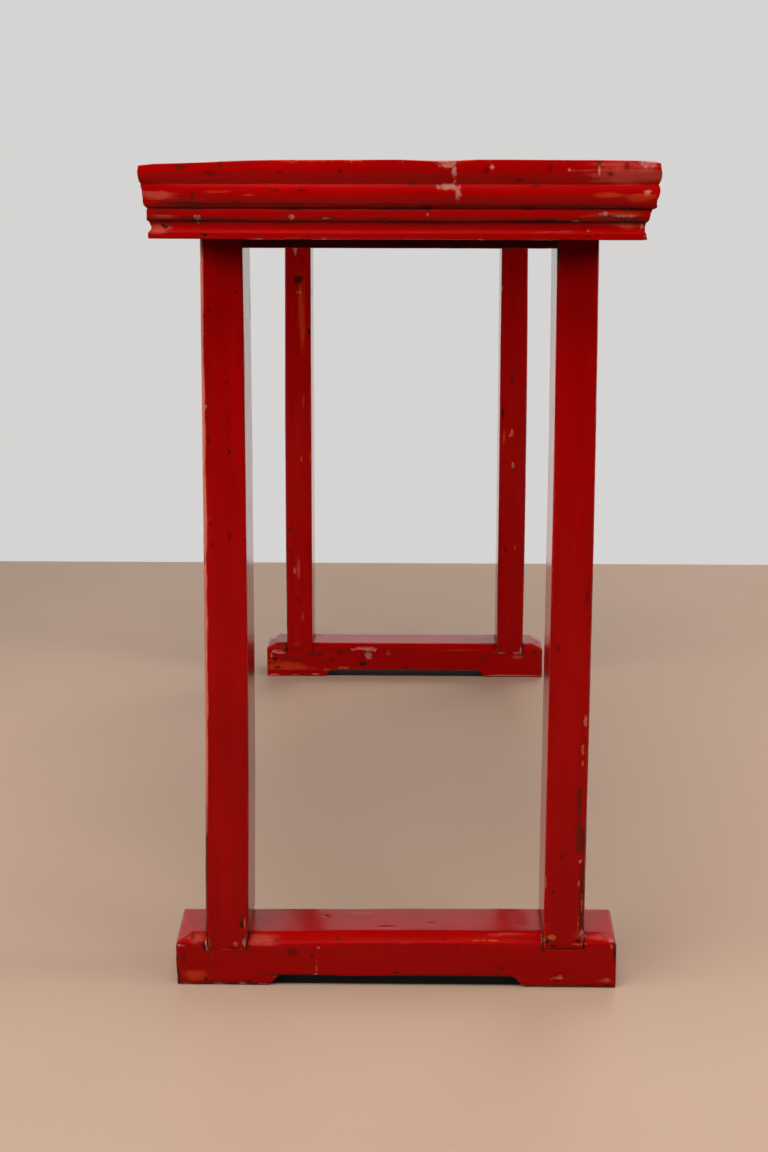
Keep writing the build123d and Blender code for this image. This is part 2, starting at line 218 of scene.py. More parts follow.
class NodeTree:
    """A shader, world or geometry tree whose nodes are all made by one method."""

    def __init__(self, tree: bpy.types.NodeTree) -> None:
        """Takes over a tree and empties it."""
        self.tree = tree
        self.tree.nodes.clear()

    def make(
        self, kind: str, inputs: dict[int | str, object] | None = None, **settings: object
    ) -> bpy.types.Node:
        """Adds a node.

        Args:
            kind: the node's type name.
            inputs: by socket name or index, a plain value, or what to link: a Value, a socket,
                or a node, which gives its first output.
            settings: its own properties, which are set before its sockets.

        Returns:
            The new node.
        """
        node = self.tree.nodes.new(kind)
        for name, value in settings.items():
            setattr(node, name, value)
        for key, value in (inputs or {}).items():
            if isinstance(value, bpy.types.Node):
                value = value.outputs[0]
            elif isinstance(value, Value):
                value = value.socket
            if isinstance(value, bpy.types.NodeSocket):
                self.tree.links.new(value, node.inputs[key])
            else:
                node.inputs[key].default_value = value
        return node

    def value(self, node: bpy.types.Node, output: int | str = 0) -> Value:
        """An output of a node as a Value."""
        return Value(self, node.outputs[output])

    def axes(self, vector: bpy.types.NodeSocket) -> tuple[Value, Value, Value]:
        """The three coordinates of a vector."""
        split = self.make("ShaderNodeSeparateXYZ", {0: vector})
        return self.value(split, 0), self.value(split, 1), self.value(split, 2)

    def place(self) -> bpy.types.NodeSocket:
        """The point on the object, in the table's own frame."""
        return self.make("ShaderNodeTexCoord").outputs["Object"]

    def stretched(self, vector: bpy.types.NodeSocket, by: Point) -> bpy.types.NodeSocket:
        """A vector scaled on each axis."""
        inputs = {0: vector, 1: by}
        return self.make("ShaderNodeVectorMath", inputs, operation="MULTIPLY").outputs[0]

    def turned(self, vector: bpy.types.NodeSocket, angle: float, by: Point) -> bpy.types.NodeSocket:
        """A vector turned about Z, then scaled on each axis."""
        inputs = {"Vector": vector, "Angle": angle}
        turn = self.make("ShaderNodeVectorRotate", inputs, rotation_type="Z_AXIS")
        return self.stretched(turn, by)

    def noise(self, vector: bpy.types.NodeSocket, cloud: "Cloud") -> Value:
        """Cloudy noise from 0 to 1."""
        inputs = {"Vector": vector, "Scale": cloud.per_metre}
        inputs |= {"Detail": cloud.detail, "Roughness": cloud.roughness}
        return self.value(self.make("ShaderNodeTexNoise", inputs))

    def scratched(self, vector: bpy.types.NodeSocket, scratches: "Scratches") -> Value:
        """Fine scratches that run one way: 1 on a scratch and 0 beside it."""
        turned = self.turned(vector, scratches.angle, scratches.spacing)
        return self.noise(turned, SCRATCH).band(*scratches.rim)

    def bumped(self, height: Value, strength: float, distance: float) -> bpy.types.Node:
        """A Bump node, which raises the surface by the height times the distance."""
        inputs = {"Strength": strength, "Distance": distance, "Height": height}
        return self.make("ShaderNodeBump", inputs)

    def spots(
        self, vector: bpy.types.NodeSocket, per_metre: float, share: float, size: float
    ) -> Value:
        """Scattered round spots.

        Args:
            vector: the place.
            per_metre: cells per metre.
            share: the share of the cells that hold a spot.
            size: how much the spots' radius varies, as a share of a cell.

        Returns:
            1 in a spot and 0 outside.
        """
        cell = self.make("ShaderNodeTexVoronoi", {"Vector": vector, "Scale": per_metre})
        split = self.make("ShaderNodeSeparateColor", {0: cell.outputs["Color"]})
        chosen = self.value(split).band(1.0 - share, 1.0 - share + SPOT_STEP)
        radius = self.value(split, 1) * size + size * SPOT_LEAST
        inside = 1.0 - (self.value(cell, "Distance") / radius).band(*SPOT_RIM)
        return chosen * inside

    def attribute(self, name: str) -> Value:
        """A number that the mesh carries."""
        return self.value(self.make("ShaderNodeAttribute", attribute_name=name), "Fac")

    def torn(self, kind: MarkKind, tear: "Tear", noise: Value) -> Value:
        """How much of a kind of mark shows, from 0 to 1, with its rim torn by noise about 0."""
        mark = self.attribute(kind.value)
        reach = mark.band(*MARK_RIM).over(tear.loose)
        return (mark + noise * tear.gain * reach).band(tear.low, tear.high)

    def blend(self, share: Number, first: object, second: object) -> bpy.types.NodeSocket:
        """A colour from first at 0 to second at 1; each is a plain colour or a socket."""
        inputs = {0: share, 6: opaque(first), 7: opaque(second)}
        return self.make("ShaderNodeMix", inputs, data_type="RGBA").outputs[2]


def opaque(colour: object) -> object:
    """Adds the fourth part that a colour socket wants; a socket passes through."""
    return (*colour, OPAQUE) if isinstance(colour, tuple) else colour


def new_material(name: str) -> tuple[bpy.types.Material, NodeTree]:
    """A new material and its tree, which is empty."""
    made = bpy.data.materials.new(name)
    made.use_nodes = True
    return made, NodeTree(made.node_tree)


# ---- finishes ----


@dataclass(frozen=True)
class Cloud:
    """Cloudy noise: how many patches go to a metre and how rough they are."""

    per_metre: float
    detail: float = 3.0
    roughness: float = 0.5


@dataclass(frozen=True)
class Scratches:
    """Fine scratches left by one way of rubbing."""

    angle: float
    spacing: Point
    rim: tuple[float, float]


@dataclass(frozen=True)
class Tear:
    """How a kind of mark shows.

    It starts at the cover low and is full at high. Its rim is torn by rough or soft noise, taken
    gain times; loose is the share of the noise that also works away from every mark.
    """

    low: float
    high: float
    is_rough: bool = False
    gain: float = 1.0
    loose: float = 0.0


TONE = Cloud(5.0)
MOTTLE = Cloud(45.0, 5.0, 0.6)
FINE = Cloud(260.0, 4.0, 0.65)
STREAK = Cloud(120.0, 4.0, 0.6)
PEEL = Cloud(420.0, 2.0)
BRUSHING = Cloud(34.0, 4.0, 0.6)
POLISH = Cloud(11.0, 5.0, 0.62)
SCRATCH = Cloud(1.0, 2.0)
WOOD_TONE = Cloud(9.0)
FLOOR_TONE = Cloud(3.0)
WIPING = Scratches(0.21, (7.0, 520.0, 1.0), (0.68, 0.76))
DRAGGING = Scratches(-0.34, (9.0, 640.0, 1.0), (0.70, 0.78))
MARK_RIM = (0.0, 0.15)
SPOT_STEP = 0.01
SPOT_LEAST = 0.4
SPOT_RIM = (0.7, 1.0)
TEARS = {
    MarkKind.THIN: Tear(0.25, 0.75, loose=0.55),
    MarkKind.HAZE: Tear(0.20, 0.80, loose=0.55),
    MarkKind.STAIN: Tear(0.22, 0.68, loose=0.45),
    MarkKind.DARK: Tear(0.34, 0.58, True),
    MarkKind.PALE: Tear(0.30, 0.66, True, 1.2, 0.35),
    MarkKind.BARE: Tear(0.36, 0.58, True, 1.2),
    MarkKind.DENT: Tear(0.25, 0.75, True, 0.6),
    MarkKind.RUB: Tear(0.20, 0.65, gain=0.5),
}


@dataclass(frozen=True)
class LacquerFinish:
    """Old red lacquer, brushed on over softwood and worn through in places."""

    slot: Slot
    deep: Colour = (0.27, 0.0007, 0.0005)
    bright: Colour = (0.37, 0.0011, 0.0007)
    thin: Colour = (0.48, 0.034, 0.009)
    haze: Colour = (0.50, 0.085, 0.060)
    stain: Colour = (0.085, 0.0080, 0.0032)
    # Colour of paler, duller lacquer and of the painted sheen on the round.
    dark: Colour = (0.018, 0.0050, 0.0030)
    pale: Colour = (0.37, 0.185, 0.152)
    wood: Colour = (0.25, 0.068, 0.030)
    orange_wood: Colour = (0.50, 0.086, 0.022)
    # Colour of dents and smudges, also used as painted shade under the round.
    dent: Colour = (0.115, 0.0016, 0.0010)
    rub: Colour = (0.60, 0.165, 0.115)
    # Colour of rubbed spots and of the painted highlight on the front right leg's outer arris.
    scuff: Colour = (0.46, 0.070, 0.050)
    scuff_depth: float = 1.0 * MM
    variant: str = ""
    stain_share: float = 0.45
    speck_share: float = 0.05
    speck_size: float = 0.13
    specks_per_metre: float = 62.0
    specular_level: float = 0.10
    gloss_roughness: float = 0.12
    worn_roughness: float = 0.58
    bump_distance: float = 0.5 * MM
    bump_strength: float = 0.22

    def material(self, grain: Grain) -> bpy.types.Material:
        """The finish on pieces whose brush strokes run one way.

        Args:
            grain: the way the strokes run.

        Returns:
            The material, made once for each way.
        """
        name = f"{self.slot.value}_{grain.name.lower()}{self.variant}"
        if name in bpy.data.materials:
            return bpy.data.materials[name]
        made, tree = new_material(name)
        place = tree.place()
        along = tree.stretched(place, grain.value)
        tone, mottle, fine, peel = (tree.noise(place, c) for c in (TONE, MOTTLE, FINE, PEEL))
        streak = tree.noise(along, STREAK)
        rough = (mottle - 0.5) * 1.2 + (fine - 0.5) * 1.3
        soft = (streak - 0.5) * 2.2 + (mottle - 0.5) * 1.1
        thin, haze, stain, dark, pale, bare, dent, rub = (
            tree.torn(kind, tear, rough if tear.is_rough else soft) for kind, tear in TEARS.items()
        )
        worn = tree.attribute("wear") + rough * 0.5
        thinned, rim, through = worn.band(0.30, 0.58), worn.band(0.54, 0.66), worn.band(0.68, 0.78)
        old_brushing = tree.noise(along, BRUSHING).band(0.60, 0.74) * self.stain_share
        # Dirt and painted shade darken the colour in the hollows.
        dirty_and_shaded = (tree.attribute("grime_and_shade") + soft * 0.55).band(0.30, 0.95)
        height = CAD_BOX[1][2] - self.scuff_depth
        is_top = tree.axes(place)[2].band(height - self.scuff_depth, height)
        scratches = tree.scratched(place, WIPING).over(tree.scratched(place, DRAGGING))
        polish = tree.noise(along, POLISH).band(0.46, 0.70)
        scuffs = is_top * (scratches * 0.55).over(polish * 0.32)
        specks = tree.spots(place, self.specks_per_metre, self.speck_share, self.speck_size)

        coats = (
            (old_brushing * 0.7, self.stain),
            ((thinned * 0.6).over(thin * 0.7), self.thin),
            # Paler, duller lacquer, and a painted sheen on the round near the front corner.
            (haze * 0.45, self.haze),
            ((rim * 0.7).over(stain * 0.8), self.stain),
            (through, tree.blend(fine.band(0.3, 0.7), self.wood, self.dark)),
            # Dirt and painted shade in the hollows.
            (dirty_and_shaded * 0.75, tree.blend(fine.band(0.45, 0.6), self.stain, self.dark)),
            (scuffs, self.scuff),
            # Dents and darker red smudges, and a band of painted shade under the round.
            (dent * 0.75, self.dent),
            ((specks * 0.8).over(dark * 0.9), self.dark),
            # Rubbed spots, and a painted highlight on the front right leg's outer arris.
            (rub * 0.8, self.rub),
            (pale * 0.78, tree.blend(fine.band(0.38, 0.60), self.haze, self.pale)),
            (bare * 0.92, tree.blend(fine.band(0.36, 0.52), self.wood, self.orange_wood)),
        )
        share = tone.band(0.3, 0.7) * 0.45 + streak.band(0.3, 0.7) * 0.55
        colour = tree.blend(share, self.deep, self.bright)
        for share, paint in coats:
            colour = tree.blend(share, colour, paint)

        matt = through.over(pale).over(bare).over(dirty_and_shaded * 0.7).over(haze * 0.6).over(thinned * 0.25)
        matt = matt.over(scuffs)
        gloss = self.gloss_roughness + (mottle - 0.5) * 0.06 + streak * 0.04
        roughness = gloss + matt * (self.worn_roughness - self.gloss_roughness)
        raised = streak * 0.35 + peel * 0.16 + tone * 0.3
        relief = raised - through * 0.9 - bare * 0.9 - specks * 0.7 - scratches * is_top * 0.5
        bump = tree.bumped(relief, self.bump_strength, self.bump_distance)
        finish_tree(tree, colour, roughness, bump, self.specular_level)
        return made


@dataclass(frozen=True)
class WoodFinish:
    """Bare wood or bamboo with its fibres along one way."""

    slot: Slot
    light: Colour
    dark: Colour
    fibres_per_metre: float
    grain: Grain
    roughness: float = 0.62
    bump_strength: float = 0.4
    bump_distance: float = 0.6 * MM

    def material(self) -> bpy.types.Material:
        """The finish as a material."""
        made, tree = new_material(self.slot.value)
        place = tree.place()
        along = tree.stretched(place, self.grain.value)
        fibre = tree.noise(along, Cloud(self.fibres_per_metre, 5.0, 0.65))
        tone = tree.noise(place, WOOD_TONE)
        share = fibre.band(0.3, 0.7) * 0.7 + tone * 0.3
        colour = tree.blend(share, self.dark, self.light)
        roughness = self.roughness + (fibre - 0.5) * 0.2
        bump = tree.bumped(fibre + tone * 0.3, self.bump_strength, self.bump_distance)
        finish_tree(tree, colour, roughness, bump)
        return made


def finish_tree(
    tree: NodeTree,
    colour: bpy.types.NodeSocket,
    roughness: Value,
    bump: bpy.types.Node,
    specular_level: float = 0.5,
) -> None:
    """Joins colour, roughness and bump into a surface.

    Args:
        tree: the material's tree.
        colour: the base colour.
        roughness: the roughness.
        bump: the Bump node that feeds the normal.
        specular_level: how much the surface mirrors, where 0.5 is plain varnish.
    """
    inputs = {
        "Base Color": colour,
        "Roughness": roughness,
        "Specular IOR Level": specular_level,
        "Normal": bump,
    }
    surface = tree.make("ShaderNodeBsdfPrincipled", inputs)
    tree.make("ShaderNodeOutputMaterial", {"Surface": surface})


MOULDING_LACQUER = LacquerFinish(Slot.MOULDING, stain_share=0.55)
PANEL_LACQUER = LacquerFinish(Slot.PANEL, stain_share=0.35)
FRAME_LACQUER = LacquerFinish(Slot.FRAME, stain_share=0.30, speck_share=0.04)
# A darker copy of the frame lacquer, as painted shade for the rails that sit in shade under the
# top.
SHADED_UNDER_LACQUER = LacquerFinish(
    Slot.FRAME, (0.10, 0.0006, 0.0004), (0.17, 0.0009, 0.0006), stain_share=0.6, variant="_under"
)
BATTEN_WOOD = WoodFinish(Slot.BATTEN, (0.30, 0.19, 0.11), (0.13, 0.075, 0.042), 160.0, Grain.Y)
BAMBOO = WoodFinish(Slot.BAMBOO, (0.62, 0.48, 0.28), (0.38, 0.25, 0.12), 900.0, Grain.Z, 0.45)
WEDGE_WOOD = WoodFinish(Slot.WEDGE, (0.42, 0.28, 0.16), (0.20, 0.12, 0.065), 500.0, Grain.Z)


# ---- sections ----


@dataclass(frozen=True)
class Corner:
    """A corner of a section, in metres outwards and up, and the stretch that follows it."""

    out: float
    up: float
    kind: Edge = Edge.ARRIS
    round: float | tuple[float, float] = 0.8 * MM
    bulge: float = 0.0
    step: float = 0.0

    @property
    def rounds(self) -> tuple[float, float]:
        """How far before and after the corner its rounding reaches."""
        return self.round if isinstance(self.round, tuple) else (self.round, self.round)


@dataclass(frozen=True)
class Section:
    """A closed section, with its corners anticlockwise as seen with out to the right."""

    corners: tuple[Corner, ...]
    coarse: float = 6.0 * MM
    fine: float = 1.1 * MM
    round_steps: int = 6

    def trace(self) -> tuple[np.ndarray, dict[Edge, np.ndarray]]:
        """Works out the section's points.

        Returns:
            The points as (out, up) rows, and how far each lies from the nearest arris and hollow.
        """
        count = len(self.corners)
        places = np.array([(c.out, c.up) for c in self.corners])
        trims = [self._trim(i) for i in range(count)]
        points: list[np.ndarray] = []
        features: list[tuple[int, Edge]] = []
        for i, corner in enumerate(self.corners):
            before, here, after = places[i - 1], places[i], places[(i + 1) % count]
            lead, tail = trims[i]
            start = here + lead * (before - here) / np.linalg.norm(before - here)
            end = here + tail * (after - here) / np.linalg.norm(after - here)
            bend = np.linspace(0, 1, self.round_steps + 1) if tail else (0.0,)
            points += [(1 - t) ** 2 * start + 2 * t * (1 - t) * here + t**2 * end for t in bend]
            features.append((len(points) - 1 - len(bend) // 2, corner.kind))
            inset = trims[(i + 1) % count][0]
            stop = after + inset * (end - after) / np.linalg.norm(end - after)
            points.extend(self._stretch(end, stop, corner))
        outline = np.array(points)
        return outline, self._distances(outline, features)

    def _trim(self, index: int) -> tuple[float, float]:
        """How far a corner's rounding reaches each way: not at all beside a bulge."""
        corner = self.corners[index]
        return (0.0, 0.0) if corner.bulge or self.corners[index - 1].bulge else corner.rounds

    def _stretch(self, start: np.ndarray, stop: np.ndarray, corner: Corner) -> list[np.ndarray]:
        """Points strictly between two corners, straight or on an arc that bulges outwards."""
        chord = stop - start
        length = float(np.linalg.norm(chord))
        bulge = corner.bulge
        if corner.step:
            shares = np.linspace(0, 1, math.ceil(length / corner.step) + 1)[1:-1]
        elif bulge:
            steps = max(4, round(length / self.fine))
            shares = np.linspace(0, 1, steps + 1)[1:-1]
        else:
            steps = max(2, round(length / self.coarse) + 4)
            shares = (1 - np.cos(np.pi * np.linspace(0, 1, steps + 1)[1:-1])) / 2
        outward = np.array([chord[1], -chord[0]]) / length
        radius = (length**2 / 4 + bulge**2) / (2 * abs(bulge)) if bulge else 0.0
        found = []
        for share in shares:
            offset = (share - 0.5) * length
            rise = math.sqrt(radius**2 - offset**2) - (radius - abs(bulge)) if bulge else 0.0
            found.append(start + chord * share + outward * math.copysign(rise, bulge))
        return found

    @staticmethod
    def _distances(outline: np.ndarray, features: list[tuple[int, Edge]]) -> dict[Edge, np.ndarray]:
        """How far each point lies, round the section, from the nearest corner of each kind."""
        steps = np.linalg.norm(np.roll(outline, -1, axis=0) - outline, axis=1)
        at = np.concatenate([[0.0], np.cumsum(steps)[:-1]])
        girth = float(steps.sum())
        found = {}
        for kind in (Edge.ARRIS, Edge.HOLLOW):
            nearest = np.full(len(outline), girth)
            for index, its_kind in features:
                if its_kind is kind:
                    apart = np.abs(at - at[index])
                    nearest = np.minimum(nearest, np.minimum(apart, girth - apart))
            found[kind] = nearest
        return found


def plank(
    out: tuple[float, float],
    up: tuple[float, float],
    rounds: tuple[float | tuple[float, float], ...],
    steps: tuple[float, ...] = (0.0,) * 4,
) -> Section:
    """A four-cornered section.

    Args:
        out: its low and high side outwards.
        up: its low and high side upwards.
        rounds: the four arrises' rounds, anticlockwise from the low corner.
        steps: how finely each side is divided, from the low side anticlockwise, or 0 for plainly.

    Returns:
        The section.
    """
    places = ((out[0], up[0]), (out[1], up[0]), (out[1], up[1]), (out[0], up[1]))
    sides = zip(places, rounds, steps)
    return Section(tuple(Corner(*place, round=r, step=step) for place, r, step in sides))


class Sweep:
    """Geometry Nodes that draw a section along a straight run and cut its ends to a mitre."""

    INPUTS = {
        "Section": "Geometry",
        "Half Length": "Float",
        "Slice": "Float",
        "Fascia": "Float",
        "Mitre": "Float",
        "Turn": "Vector",
        "Place": "Vector",
        "Finish": "Material",
    }

    def __init__(self) -> None:
        """Builds the tree, with named inputs for the sizes of a run."""
        self.group = bpy.data.node_groups.new("section_sweep", "GeometryNodeTree")
        nodes = NodeTree(self.group)
        face = self.group.interface
        face.new_socket("Geometry", in_out="OUTPUT", socket_type="NodeSocketGeometry")
        self.ids = {
            name: face.new_socket(name, in_out="INPUT", socket_type=f"NodeSocket{kind}").identifier
            for name, kind in self.INPUTS.items()
        }
        given = nodes.make("NodeGroupInput").outputs
        sizes = ("Half Length", "Fascia", "Mitre")
        half, fascia, mitre = (Value(nodes, given[name]) for name in sizes)
        start, end = (nodes.make("ShaderNodeCombineXYZ", {"X": half * way}) for way in (-1.0, 1.0))
        line = nodes.make("GeometryNodeCurvePrimitiveLine", {"Start": start, "End": end})
        level = nodes.make("GeometryNodeSetCurveNormal", {"Curve": line}, mode="Z_UP")
        spaced = {"Curve": level, "Length": given["Slice"]}
        slices = nodes.make("GeometryNodeResampleCurve", spaced, mode="LENGTH")
        profile = nodes.make("GeometryNodeMeshToCurve", {"Mesh": given["Section"]})
        run = {"Curve": slices, "Profile Curve": profile, "Fill Caps": True}
        swept = nodes.make("GeometryNodeCurveToMesh", run)
        x, y, z = nodes.axes(nodes.make("GeometryNodeInputPosition"))
        share = 1.0 - mitre * (fascia - y) / half
        mitred = nodes.make("ShaderNodeCombineXYZ", {"X": x * share, "Y": y, "Z": z})
        cut = nodes.make("GeometryNodeSetPosition", {"Geometry": swept, "Position": mitred})
        place = {"Geometry": cut, "Translation": given["Place"], "Rotation": given["Turn"]}
        placed = nodes.make("GeometryNodeTransform", place)
        real = nodes.make("GeometryNodeRealizeInstances", {0: placed})
        dress = {"Geometry": real, "Material": given["Finish"]}
        nodes.make("NodeGroupOutput", {0: nodes.make("GeometryNodeSetMaterial", dress)})

    def draw(self, stick: "Stick") -> bpy.types.Object:
        """Draws one straight piece as a plain mesh.

        Args:
            stick: the piece's section, run and finish.

        Returns:
            The piece's object, at the origin, with the distances to its edges as attributes.
        """
        outline, distances = stick.section.trace()
        count = len(outline)
        drawn = bpy.data.meshes.new("section")
        rows = [(-out, -up, 0.0) for out, up in outline]
        drawn.from_pydata(rows, [(i, (i + 1) % count) for i in range(count)], [])
        for kind, apart in distances.items():
            write_attribute(drawn, kind.value, apart)
        carrier = link_object("section", drawn)
        modifier = carrier.modifiers.new("sweep", "NODES")
        modifier.node_group = self.group
        values = {
            "Half Length": stick.half_length,
            "Slice": stick.slice,
            "Fascia": stick.fascia,
            "Mitre": 1.0 if stick.is_mitred else 0.0,
            "Turn": tuple(stick.turn),
            "Place": tuple(stick.turn.to_matrix() @ Vector((stick.middle, 0.0, 0.0))),
            "Finish": stick.finish,
        }
        for name, value in values.items():
            modifier[self.ids[name]] = value
        seen = carrier.evaluated_get(bpy.context.evaluated_depsgraph_get())
        mesh = bpy.data.meshes.new_from_object(seen)
        bpy.data.objects.remove(carrier)
        bpy.data.meshes.remove(drawn)
        return link_piece(stick.node, mesh)


@dataclass
class Stick:
    """A straight piece: the node it stands for, its section, and where its run lies."""

    node: str
    section: Section
    turn: Euler
    half_length: float
    slice: float
    finish: bpy.types.Material
    middle: float = 0.0
    is_mitred: bool = False
    fascia: float = 0.0

    def local(self, points: np.ndarray) -> np.ndarray:
        """Points of the table's frame as rows of (along from the middle, out, up)."""
        turned = points @ np.array(self.turn.to_matrix())
        turned[:, 0] -= self.middle
        return turned

    def to_end(self, points: np.ndarray) -> np.ndarray:
        """How far each point lies from the nearer end of the piece."""
        own = self.local(points)
        setback = (self.fascia - own[:, 1]) if self.is_mitred else 0.0
        return self.half_length - setback - np.abs(own[:, 0])


def bell(apart: np.ndarray, reach: float | np.ndarray) -> np.ndarray:
    """1 at no distance, falling smoothly to about a third at the reach."""
    return np.exp(-((apart / reach) ** 2))


def write_attribute(mesh: bpy.types.Mesh, name: str, values: np.ndarray) -> None:
    """Stores a number for each vertex."""
    layer = mesh.attributes.get(name) or mesh.attributes.new(name, "FLOAT", "POINT")
    layer.data.foreach_set("value", np.asarray(values, np.float32))


def read_attribute(mesh: bpy.types.Mesh, name: str) -> np.ndarray:
    """A number for each vertex."""
    values = np.zeros(len(mesh.vertices), np.float32)
    mesh.attributes[name].data.foreach_get("value", values)
    return values.astype(float)


def read_rows(items: bpy.types.bpy_prop_collection, name: str) -> np.ndarray:
    """A row of three numbers for each item of a mesh."""
    values = np.zeros(len(items) * 3, np.float32)
    items.foreach_get(name, values)
    return values.reshape(-1, 3).astype(float)


def link_object(name: str, data: bpy.types.ID) -> bpy.types.Object:
    """Makes an object at the origin of a mesh, lamp or camera."""
    made = bpy.data.objects.new(name, data)
    bpy.context.scene.collection.objects.link(made)
    return made


def link_piece(node: str, mesh: bpy.types.Mesh) -> bpy.types.Object:
    """Makes the object of the lacquered piece that stands for a node."""
    mesh.name = f"{node}_lacquered"
    return link_object(mesh.name, mesh)


# ---- ageing, with painted shade in the hollows ----


class RoughField:
    """Smooth repeatable noise over space, from -1 to 1."""

    CELLS = 64

    def __init__(self, seed: int) -> None:
        """Draws the lattice from a fixed seed."""
        self.lattice = np.random.default_rng(seed).uniform(-1.0, 1.0, (self.CELLS,) * 3)

    def at(self, points: np.ndarray, per_metre: float) -> np.ndarray:
        """The noise at each point.

        Args:
            points: rows of places.
            per_metre: cells per metre.

        Returns:
            One number for each point.
        """
        scaled = points * per_metre
        cell = np.floor(scaled).astype(int)
        share = scaled - cell
        share = share * share * (3 - 2 * share)
        total = np.zeros(len(points))
        for step in itertools.product((0, 1), repeat=3):
            index = (cell + step) % self.CELLS
            weight = np.prod(np.where(step, share, 1 - share), axis=1)
            total += self.lattice[index[:, 0], index[:, 1], index[:, 2]] * weight
        return total


@dataclass(frozen=True)
class Mark:
    """One mark on the lacquer: where it lies, how far it reaches and how deep."""

    kind: MarkKind
    at: Point
    reach: Point
    depth: float = 0.0

    def is_near(self, low: np.ndarray, high: np.ndarray) -> bool:
        """True where the mark touches a box."""
        at, reach = np.array(self.at), np.array(self.reach)
        return bool(((at + reach > low) & (at - reach < high)).all())

    def cover(self, points: np.ndarray) -> tuple[np.ndarray, np.ndarray]:
        """Finds the points that the mark may reach.

        Args:
            points: rows of places.

        Returns:
            The rows it may reach, and for each 1 in the mark's middle, falling to 0 at its reach.
        """
        apart = (points - np.array(self.at)) / np.array(self.reach)
        rows = np.flatnonzero((np.abs(apart) < 1.0).all(axis=1))
        share = 1.0 - np.linalg.norm(apart[rows], axis=1)
        return rows, np.clip(share, 0.0, 1.0)


@dataclass(frozen=True)
class Scatter:
    """Small marks strewn by chance over one face."""

    low: Point
    high: Point
    count: int
    along: int
    seed: int
    kinds: tuple[MarkKind, ...] = tuple(
        MarkKind(name)
        for name in ("dent", "dent", "stain", "dark", "thin", "haze", "pale", "bare")
    )
    length: tuple[float, float] = (3.5 * MM, 13.0 * MM)
    width: tuple[float, float] = (2.4 * MM, 5.0 * MM)
    drawn_out: float = 2.4
    depth: float = 0.35 * MM

    def strew(self) -> list[Mark]:
        """Draws the marks from the fixed seed.

        Returns:
            The marks; thin and hazy ones are drawn out along the piece.
        """
        chance = np.random.default_rng(self.seed)
        marks = []
        for _ in range(self.count):
            kind = self.kinds[chance.integers(len(self.kinds))]
            at = chance.uniform(self.low, self.high)
            reach = np.full(3, chance.uniform(*self.width))
            reach[self.along] = chance.uniform(*self.length)
            is_flat = kind in (MarkKind.THIN, MarkKind.HAZE)
            if is_flat:
                reach[self.along] *= self.drawn_out
            cut = 0.0 if is_flat else chance.uniform(0.2, 1.0) * self.depth
            marks.append(Mark(kind, tuple(at), tuple(reach), cut))
        return marks


@dataclass(frozen=True)
class Warp:
    """A smooth push of the wood round one place, the same for every piece there."""

    at: Point
    reach: Point
    push: Point

    def shift(self, points: np.ndarray) -> np.ndarray:
        """How far each point is pushed."""
        apart = (((points - np.array(self.at)) / np.array(self.reach)) ** 2).sum(axis=1)
        return np.clip(1.0 - apart, 0.0, 1.0)[:, None] ** 2 * np.array(self.push)


@dataclass(frozen=True)
class Dip:
    """A place where the rim of the top is worn or planed low."""

    at: tuple[float, float]
    reach: tuple[float, float]
    depth: float

    def fall(self, points: np.ndarray) -> np.ndarray:
        """How far the top has fallen at each point."""
        apart = (points[:, :2] - np.array(self.at)) / np.array(self.reach)
        return self.depth * np.clip(1.0 - (apart**2).sum(axis=1), 0.0, 1.0) ** 2


